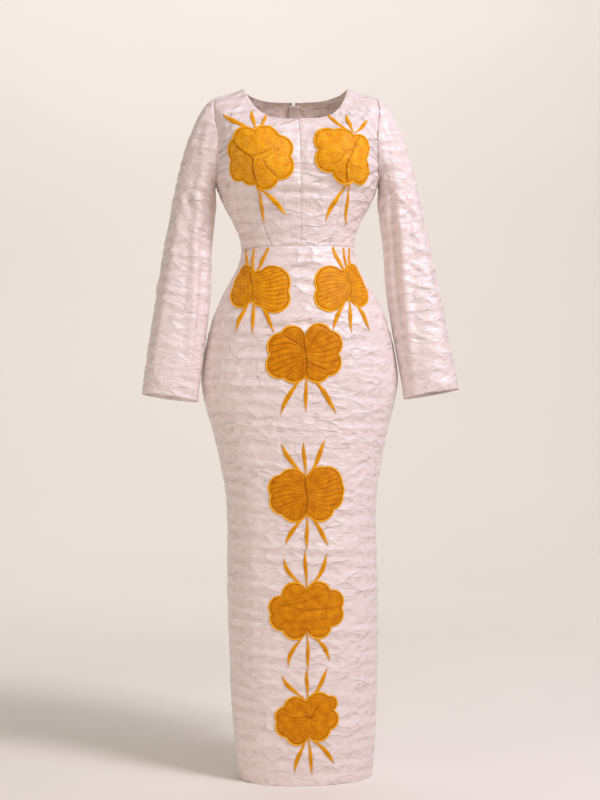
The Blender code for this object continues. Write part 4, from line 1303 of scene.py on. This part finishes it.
def ribbed(spec, x, y, free):
    """The rows of ribs on a pinched flower, which spread from its middle."""
    tall = max(abs(y) for _, y, _ in spec["scallops"]) + RIB["past"]
    spread_to = RIB["pinch"] + (tall - RIB["pinch"]) * (1 - np.exp(-((np.abs(x) / RIB["opens"]) ** 1.3)))
    rib = np.abs(np.cos(0.5 * math.pi * spec["ribs"] * (y / spread_to + 0.12 * np.sin(x / 16))))
    down = RIB["down"] * (1 - rib**0.55) * free * np.clip(np.abs(x) / 6, 0.3, 1)
    return down, RIB["deep"] * bell(rib / RIB["sharp"]) * free


def flower_relief(spec, x, y, off, share):
    """Height above the cloth, and how deep in stitches each point lies."""
    cord = EDGE["high"] * np.sqrt(np.clip(np.sin(math.pi * np.clip(off / EDGE["cord"], 0, 1)), 0, 1))
    field = EDGE["fill"] * (1 - np.exp(-np.clip(off - EDGE["groove"], 0, None) / EDGE["rise"]))
    height = EDGE["least"] + cord + field
    # deep also darkens the colour in the grooves, valleys, ribs and tuck folds, partly as painted shade.
    deep = bell((off - EDGE["groove"]) / 0.7)
    free = np.clip((off - EDGE["groove"]) / 4, 0, 1)
    if spec["ribs"]:
        down, grooves = ribbed(spec, x, y, free)
        height -= down
        deep = np.maximum(deep, grooves)
    else:
        angles = np.sort([math.atan2(at[1], at[0]) for at in spec["scallops"]])
        ends = np.append(angles, angles[0] + 2 * math.pi)
        for notch in (ends[1:] + ends[:-1]) / 2:
            turn = np.arctan2(y, x) - notch
            apart = np.abs(np.hypot(x, y) * np.sin(turn))
            valley = bell(apart / PETAL["wide"]) * (np.cos(turn) > 0) * np.clip(share * 1.6 - 0.5, 0, 1)
            height -= PETAL["down"] * valley * free
            deep = np.maximum(deep, PETAL["deep"] * valley * free)
    for x0, y0, x1, y1, down, wide in spec["tucks"]:
        length = math.hypot(x1 - x0, y1 - y0)
        run = ((x - x0) * (x1 - x0) + (y - y0) * (y1 - y0)) / length
        beyond = (np.clip(-run, 0, None) + np.clip(run - length, 0, None)) / TUCK["ends"]
        aside = ((y - y0) * (x1 - x0) - (x - x0) * (y1 - y0)) / length + TUCK["wave"] * np.sin(run / length * 5)
        fold = np.exp(-((aside / (TUCK["fold"] * wide)) ** 2) - beyond**2)
        swell = np.exp(-(((aside - TUCK["aside"] * wide) / (TUCK["swell"] * wide)) ** 2) - beyond**2)
        height += (0.5 * down * swell - down * fold) * free
        deep = np.maximum(deep, 0.4 * down * fold * np.clip(free, 0.3, 1))
    return np.maximum(height, 0.3), deep


def flower_parts(spec):
    """The flat points of a flower with their heights and attributes, and its faces."""
    angle = np.linspace(0, 2 * math.pi, TURNS, endpoint=False)
    far = reach(spec["scallops"], spec["base"], angle)
    inner = np.arange(1, RINGS + 1)[:, None] / RINGS * (far - OFFSETS[0])[None]
    radius = np.concatenate([inner, far[None] - np.array(OFFSETS[1:])[:, None]])
    x, y = radius * np.cos(angle), radius * np.sin(angle)
    off = far[None] - radius
    height, deep = flower_relief(spec, x, y, off, radius / far[None])
    edge = fade((off - EDGE["cord"]) / 0.3)
    rows = len(radius)
    keep = np.array([3, 9, 15, 21, rows - 1])
    top = np.stack([x, y, height], axis=-1).reshape(-1, 3)
    under = np.stack([x[keep], y[keep], np.zeros_like(x[keep])], axis=-1).reshape(-1, 3)
    middle_height, middle_deep = flower_relief(spec, np.zeros(1), np.zeros(1), np.full(1, 40.0), np.zeros(1))
    points = np.concatenate([[[0, 0, middle_height[0]]], top, [[0, 0, 0]], under])
    marks = np.zeros_like(points)
    marks[0, 1] = middle_deep[0]
    marks[1 : len(top) + 1, :2] = np.stack([edge, deep], axis=-1).reshape(-1, 2)

    def at(row, j, first=1):
        return first + row * TURNS + j % TURNS

    def at_under(row, j):
        return at(row, j, 2 + rows * TURNS)

    faces = []
    for j in range(TURNS):
        faces.append((0, at(0, j), at(0, j + 1)))
        faces.append((1 + rows * TURNS, at_under(0, j + 1), at_under(0, j)))
        faces.extend((at(i, j), at(i + 1, j), at(i + 1, j + 1), at(i, j + 1)) for i in range(rows - 1))
        faces.extend(
            (at_under(i, j + 1), at_under(i + 1, j + 1), at_under(i + 1, j), at_under(i, j))
            for i in range(len(keep) - 1)
        )
        low = len(keep) - 1
        faces.append((at(rows - 1, j + 1), at(rows - 1, j), at_under(low, j), at_under(low, j + 1)))
    return points, marks, faces


def leaf_parts(leaf, bow, cut=False, steps=30, across=6):
    """A slim padded leaf, domed across and pointed, with a bend. A seam cuts off the tips of some."""
    x0, y0, x1, y1, wide = leaf
    root, tip = np.array([x0, y0]), np.array([x1, y1])
    along = tip - root
    side = np.array([-along[1], along[0]]) / np.linalg.norm(along)
    s = np.linspace(0, 1, steps + 1)
    half = smooth(LEAF_SHAPE["along"], LEAF_SHAPE["wide"], s) * wide / 2
    if cut and y1 > y0:
        half = np.maximum(half, 0.33 * wide * np.clip((s - 0.3) / 0.3, 0, 1))
    line = root + s[:, None] * along
    line[:, 0] += bow * (x1 - x0) * np.sin(math.pi * s) + 0.12 * wide * np.sin(2 * math.pi * s)
    q = np.linspace(-1, 1, across + 1)
    flat = line[:, None] + (half[:, None] * q)[..., None] * side
    dome = 0.35 + (0.5 + 0.9 * half / half.max())[:, None] * np.sqrt(np.clip(1 - q**2, 0, 1))
    top = np.concatenate([flat, dome[..., None]], axis=-1)
    under = np.concatenate([flat, np.zeros_like(dome)[..., None]], axis=-1)
    worn = bell((s - 0.58) / 0.13)[:, None] * (np.abs(q) < 0.7)
    rim = (np.abs(q) > 0.8)[None] * np.ones_like(s)[:, None]
    marks = np.stack([0.45 + 0.5 * rim, 0 * worn, 0.25 * worn], axis=-1)
    row, count = across + 1, (steps + 1) * (across + 1)
    faces = []
    for i in range(steps):
        for a in range(i * row, i * row + across):
            faces.append((a, a + row, a + row + 1, a + 1))
            faces.append((count + a + 1, count + a + row + 1, count + a + row, count + a))
        for a, way in ((i * row, 1), (i * row + across, -1)):
            faces.append((a, count + a, count + a + row, a + row)[::way])
    for start, way in ((0, -1), (steps * row, 1)):
        faces.extend((a, count + a, count + a + 1, a + 1)[::way] for a in range(start, start + across))
    points = np.concatenate([top.reshape(-1, 3), under.reshape(-1, 3)])
    return points, np.concatenate([marks.reshape(-1, 3), np.zeros((count, 3))]), faces


def lay(flat, across, height, rows=40):
    """Angles and levels of flat points, laid by distance along the cloth round one place of the front."""
    rises = height + np.linspace(flat[:, 1].min() - 1, flat[:, 1].max() + 1, rows)
    turn = np.linspace(-100, 100, 121)
    grid, heights = np.broadcast_arrays(turn[None], rises[:, None])
    run = distances(body(grid, level_at(grid, heights.copy())))[0]
    start = locate(np.full(rows, float(across)), rises)[0]
    run -= np.array([np.interp(a, turn, r) for a, r in zip(start, run)])[:, None]
    place = (height + flat[:, 1] - rises[0]) / (rises[1] - rises[0])
    low = np.clip(place.astype(int), 0, rows - 2)
    share = place - low
    near, far = np.empty((2, len(flat)))
    for k in range(rows - 1):
        at = low == k
        near[at] = np.interp(flat[at, 0], run[k], turn)
        far[at] = np.interp(flat[at, 0], run[k + 1], turn)
    around = near * (1 - share) + far * share
    return around, level_at(around, height + flat[:, 1])


# %% Flowers on the dress
LIFT = 0.55
flowers, flower_cuts = {}, {}


def flat_area(points, faces):
    """The area of a flat cut: its faces cover it twice, on top and beneath."""
    total = 0.0
    for face in faces:
        x, y = points[list(face), 0], points[list(face), 1]
        total += abs(np.dot(x, np.roll(y, -1)) - np.dot(y, np.roll(x, -1))) / 2
    return total / 2


def make_flower(name, spec):
    parts = [flower_parts(spec)] + [leaf_parts(leaf, spec["bow"], "cut" in spec) for leaf in spec["leaves"]]
    points, marks, faces, start = [], [], [], 0
    for part_points, part_marks, part_faces in parts:
        points.append(part_points)
        marks.append(part_marks)
        faces.extend(tuple(start + k for k in face) for face in part_faces)
        start += len(part_points)
    points, marks = np.concatenate(points), np.concatenate(marks)
    flower_cuts[name] = (*np.ptp(points[:, :2], axis=0) * MM, flat_area(points, faces) * MM**2)
    around, level = lay(points[:, :2], spec["x"], spec["h"])
    spots, out = skin(around, level)
    spots = spots + (relief(around, level) + LIFT + points[:, 2])[:, None] * out
    mesh = bpy.data.meshes.new(name)
    mesh.from_pydata(placed(spots).tolist(), [], faces)
    corners = np.empty(len(mesh.loops), int)
    mesh.loops.foreach_get("vertex_index", corners)
    give_map(mesh, points[corners, :2])
    gilt = np.full(len(marks), 1.0 if "bust" in name else 0.45 if "hip" in name else 0.0)
    for mark, values in zip(MARKS, (*marks.T, gilt)):
        layer = mesh.attributes.new(mark, "FLOAT", "POINT")
        layer.data.foreach_set("value", values.astype(np.float32))
    mesh.shade_smooth()
    mesh.materials.append(satin)
    made = into_scene(name + "_satin", mesh)
    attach(made, "dress")
    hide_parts(name)
    flowers[name] = made
    return made


for flower_name, flower in FLOWERS.items():
    made = make_flower(flower_name, flower)
    print(flower_name, len(made.data.polygons), "faces")

# %% [markdown]
# ## Repeats along a line
# Stitches, the zip's coil and its loops all repeat at a steady spacing, which Geometry Nodes do best: the
# tree walks a curve, puts one small rounded body at each step and turns it to the curve. One tree serves
# them all, with inputs for the spacing and the three sizes of the body.

# %% A node tree for repeats


def start_tree(name, **inputs):
    """A tree that takes a mesh, these inputs and a material, and its input's sockets."""
    tree = bpy.data.node_groups.new(name, "GeometryNodeTree")
    for label, kind in {"Geometry": "Geometry", **inputs, "Material": "Material"}.items():
        tree.interface.new_socket(label, in_out="INPUT", socket_type="NodeSocket" + kind)
    tree.interface.new_socket("Geometry", in_out="OUTPUT", socket_type="NodeSocketGeometry")
    return tree, tree.nodes.new("NodeGroupInput").outputs


def end_tree(tree, given, **copies):
    """Put the instances in place as a real mesh of the given material."""
    placed_ones = node(tree, "GeometryNodeInstanceOnPoints", copies)
    real = node(tree, "GeometryNodeRealizeInstances", {0: placed_ones.outputs[0]})
    done = node(tree, "GeometryNodeSetMaterial", {"Geometry": real.outputs[0], "Material": given["Material"]})
    node(tree, "NodeGroupOutput", {0: done.outputs[0]})
    return tree


def repeat_tree():
    tree, given = start_tree("repeat_along", Spacing="Float", Across="Float", Out="Float", Along="Float")
    curve = node(tree, "GeometryNodeMeshToCurve", {0: given["Geometry"]}).outputs[0]
    links = {"Curve": curve, "Length": given["Spacing"]}
    steps = node(tree, "GeometryNodeCurveToPoints", links, mode="LENGTH").outputs
    ball = node(tree, "GeometryNodeMeshUVSphere", {"Segments": 6, "Rings": 4, "Radius": 0.5}).outputs[0]
    size = node(tree, "ShaderNodeCombineXYZ", {0: given["Across"], 1: given["Out"], 2: given["Along"]}).outputs[0]
    return end_tree(tree, given, Points=steps["Points"], Instance=ball, Rotation=steps["Rotation"], Scale=size)


REPEAT = repeat_tree()


def bake(source, tree, values, name):
    """Run a tree on an object and keep its result as a plain mesh."""
    run = source.modifiers.new("nodes", "NODES")
    run.node_group = tree
    for item in tree.interface.items_tree:
        if item.item_type == "SOCKET" and item.in_out == "INPUT" and item.name in values:
            run[item.identifier] = values[item.name]
    bpy.context.view_layer.update()
    seen = source.evaluated_get(bpy.context.evaluated_depsgraph_get())
    mesh = bpy.data.meshes.new_from_object(seen)
    made = into_scene(name, mesh)
    bpy.data.objects.remove(source)
    mesh.shade_smooth()
    return made


def polyline(name, lines):
    """Edges through lines of points, as a mesh for a tree to follow."""
    points, edges = [], []
    for line, closed in lines:
        start = len(points)
        points.extend(placed(line).tolist())
        edges.extend((start + i, start + i + 1) for i in range(len(line) - 1))
        if closed:
            edges.append((start + len(line) - 1, start))
    mesh = bpy.data.meshes.new(name)
    mesh.from_pydata(points, edges, [])
    made = into_scene(name, mesh)
    return made


def repeat(name, lines, spacing, size, stuff):
    """One object of small rounded bodies along the lines. size is across, out and along, in millimetres."""
    across, out, along = (v * MM for v in size)
    values = {"Spacing": spacing * MM, "Across": across, "Out": out, "Along": along, "Material": stuff}
    return bake(polyline(name + "_lines", lines), REPEAT, values, name)


# %% [markdown]
# ## Topstitching
# The hem, the cuffs and the neckline are turned under and held by a line of stitches, 3 mm long. In
# the photograph they read as a faint dotted line, so each is a thread's width and sits in a slight dip.

# %% Stitches
STITCHES = {"length": 3.0, "step": 3.8, "thread": 0.55, "below_neck": 7.0, "fine": 260, "neck_fine": 80}
HEM = 22.0


def on_cloth(around, level, off=0.3):
    points, out = skin(around, level)
    return points + (relief(around, level) + off)[:, None] * out


def hem_lines():
    """The hem's stitches all round, up both sides of the walking slit, and round the neck."""
    fine, few = STITCHES["fine"], STITCHES["neck_fine"]
    neck = np.full(few, NECK_LEVEL - STITCHES["below_neck"])
    up = np.linspace(HEM, SLIT["top"] + 8, fine // 2)
    edge = float(back_edge(np.array([HEM]))[0, 0]) - 3
    lines = [(on_cloth(np.linspace(-89, 89, fine), np.full(fine, HEM)), False)]
    for side in (-1, 1):
        for around, level in (
            (np.linspace(91, edge, fine // 2), np.full(fine // 2, HEM)),
            (back_edge(up)[:, 0] - 3.2, up),
            (np.linspace(1, 88, few), neck),
            (np.linspace(92, 176, few), neck),
        ):
            lines.append((on_cloth(side * around, level), False))
    return lines


stitches = repeat(
    "topstitching", hem_lines() + [(cuff_line_l, True), (cuff_line_r, True)], STITCHES["step"],
    (STITCHES["thread"], STITCHES["thread"], STITCHES["length"]), thread,
)
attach(stitches, "dress")
print("stitches", len(stitches.data.polygons) // 24)

# %% [markdown]
# ## The zip
# Behind the two edges of the back lies a closed coil zip. Its tape is woven, and its coil is a nylon
# thread wound in loops that lock together down the middle, so each loop is a small rounded bar across.

# %% Zip tape and coil
TAPE = {"half": 12.0, "behind": 2.6, "thick": 0.8, "coil": 2.2, "loop": 1.5, "loop_out": 1.9, "loop_fill": 0.86}


def make_zip():
    levels = np.linspace(ZIP["end"] + 2, ZIP["top"], 130)
    across = np.array([-1.0, -0.6, -0.2, 0.2, 0.6, 1.0]) * TAPE["half"]
    rows = []
    for level in levels:
        points, out = skin(180 - angle_at(across, np.full(len(across), level)), level)
        rows.append(points - TAPE["behind"] * out)
    points = np.array(rows)
    left, _, bottom, _ = distances(points)
    made = grid_mesh("zip_tape_woven", points, np.stack([left, bottom], axis=-1))
    made.data.flip_normals()
    made.data.materials.append(tape)
    thicken(made, TAPE["thick"], even=False)
    middle, out = skin(np.full(len(levels), 180.0), levels)
    lines = [(middle - (TAPE["behind"] - TAPE["loop_out"] / 2) * out, False)]
    size = (2 * TAPE["coil"], TAPE["loop_out"], TAPE["loop_fill"] * TAPE["loop"])
    loops = repeat("zip_coil", lines, TAPE["loop"], size, coil)
    for piece in (made, loops):
        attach(piece, "dress")
        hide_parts("zip_tape")
    return made, loops


zip_woven, zip_loops = make_zip()
print("coil loops", len(zip_loops.data.polygons) // 24)

# %% [markdown]
# ## Gilt beads
# The bust and hip flowers glitter with scattered pale points. A second tree scatters tiny beads on the
# top of each flower, with a fixed seed so that they fall in the same places each time.

# %% Beads
BEADS = {"apart": 4.0, "hip_apart": 1.7, "size": 1.25, "seed": 4, "most": 60000.0}


def bead_tree():
    tree, given = start_tree("scatter_beads", Apart="Float", Size="Float", Seed="Int")
    links = {"Mesh": given["Geometry"], "Distance Min": given["Apart"], "Seed": given["Seed"]}
    links["Density Max"] = BEADS["most"]
    spots = node(tree, "GeometryNodeDistributePointsOnFaces", links, distribute_method="POISSON").outputs["Points"]
    ball = node(tree, "GeometryNodeMeshIcoSphere", {"Radius": 0.5, "Subdivisions": 1}).outputs[0]
    return end_tree(tree, given, Points=spots, Instance=ball, Scale=given["Size"])


SCATTER = bead_tree()


def field_of(made):
    """A copy of a flower's padded field alone: the faces on top that are inside the groove."""
    copy = made.data.copy()
    deep, edge = copy.attributes["deep"].data, copy.attributes["edge"].data
    last = 1 + TURNS * (RINGS - 1)

    def outside(k):
        return k > last or deep[k].value > 0.4 or edge[k].value > 0.3

    bm = bmesh.new()
    bm.from_mesh(copy)
    gone = [f for f in bm.faces if any(outside(v.index) for v in f.verts)]
    bmesh.ops.delete(bm, geom=gone, context="FACES")
    bm.to_mesh(copy)
    bm.free()
    return into_scene("field", copy)


for k, flower_name in enumerate(("flower_bust_l", "flower_bust_r", "flower_hip_l", "flower_hip_r")):
    beads = bake(
        field_of(flowers[flower_name]), SCATTER,
        {"Apart": BEADS["apart"] * MM * (1.0 if k < 2 else BEADS["hip_apart"]), "Size": BEADS["size"] * MM,
         "Seed": BEADS["seed"] + k, "Material": glitter}, flower_name + "_beads",
    )
    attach(beads, "dress")
    print(beads.name, len(beads.data.polygons) // 20, "beads")

# %% [markdown]

# %% [markdown]
# ## Floor, backdrop and light
# The dress stands before a plain warm off-white sweep, far enough off that a view from behind still shows
# the dress. The light is broad and soft, from above and in front, a little warmer on the viewer's left and
# a little lilac on the right, with a faint shadow. A small glow stands for light through the back's cloth.

# %% Stage
STAGE = {"floor": -0.5, "front": -5600.0, "back": 5600.0, "round": 1800.0, "wide": 8000.0, "high": 5200.0}


def make_stage():
    r, back = STAGE["round"], STAGE["back"]
    profile = [(STAGE["front"], STAGE["floor"])]
    for i in range(13):
        turn = math.radians(90 * i / 12)
        profile.append((back - r + r * math.sin(turn), STAGE["floor"] + r - r * math.cos(turn)))
    profile.append((back, STAGE["high"]))
    rows = np.array([[(x, y, z) for x in (-STAGE["wide"], STAGE["wide"])] for y, z in profile])
    mesh = bpy.data.meshes.new("sweep")
    faces = [(2 * i, 2 * i + 1, 2 * i + 3, 2 * i + 2) for i in range(len(profile) - 1)]
    mesh.from_pydata(placed(rows.reshape(-1, 3)).tolist(), [], faces)
    mesh.shade_smooth()
    made, tree, shader = start_material("painted_sweep")
    at = node(tree, "ShaderNodeTexCoord").outputs["Object"]
    cloud = noise(tree, at, 0.8, 1.0)
    plug(tree, shader, {"Base Color": blend(tree, cloud, "#EEEAE3", "#F4F0EA"), "Roughness": 0.9})
    mesh.materials.append(made)
    sweep = into_scene("sweep", mesh)


def light(name, place, aim, size, watts, colour):
    data = bpy.data.lights.new(name, "AREA")
    data.shape, data.size, data.size_y = "RECTANGLE", size[0] * MM, size[1] * MM
    data.energy, data.color = watts, linear(colour)[:3]
    lamp = into_scene(name, data)
    lamp.location = placed(place)
    lamp.rotation_euler = (Vector(placed(aim)) - lamp.location).to_track_quat("-Z", "Y").to_euler()
    return lamp


make_stage()
light("key", (2200, -2600, 4400), (0, 0, 750), (1000, 800), 114, "#FBF4F7")
light("fill_right", (1500, -1300, 2400), (280, 0, 1050), (800, 800), 21, "#EBE4FF")
light("fill_left", (-2300, -2000, 500), (0, 0, 200), (1600, 1200), 17, "#FFF4EA")
light("backdrop_wash", (-200, 2600, 4400), (-200, 5600, 1300), (7000, 900), 104, "#F8FAFC")
glow = light("through_the_cloth", (0, -20, 1270), (0, 75, 1370), (120, 40), 0.05, "#FFE6CC")
glow.visible_camera = False
world = bpy.data.worlds.new("studio_air")
world.use_nodes = True
world.node_tree.nodes["Background"].inputs[0].default_value = linear("#F1E3DA")
world.node_tree.nodes["Background"].inputs[1].default_value = 0.4
bpy.context.scene.world = world
bpy.context.scene.view_settings.view_transform = "Standard"
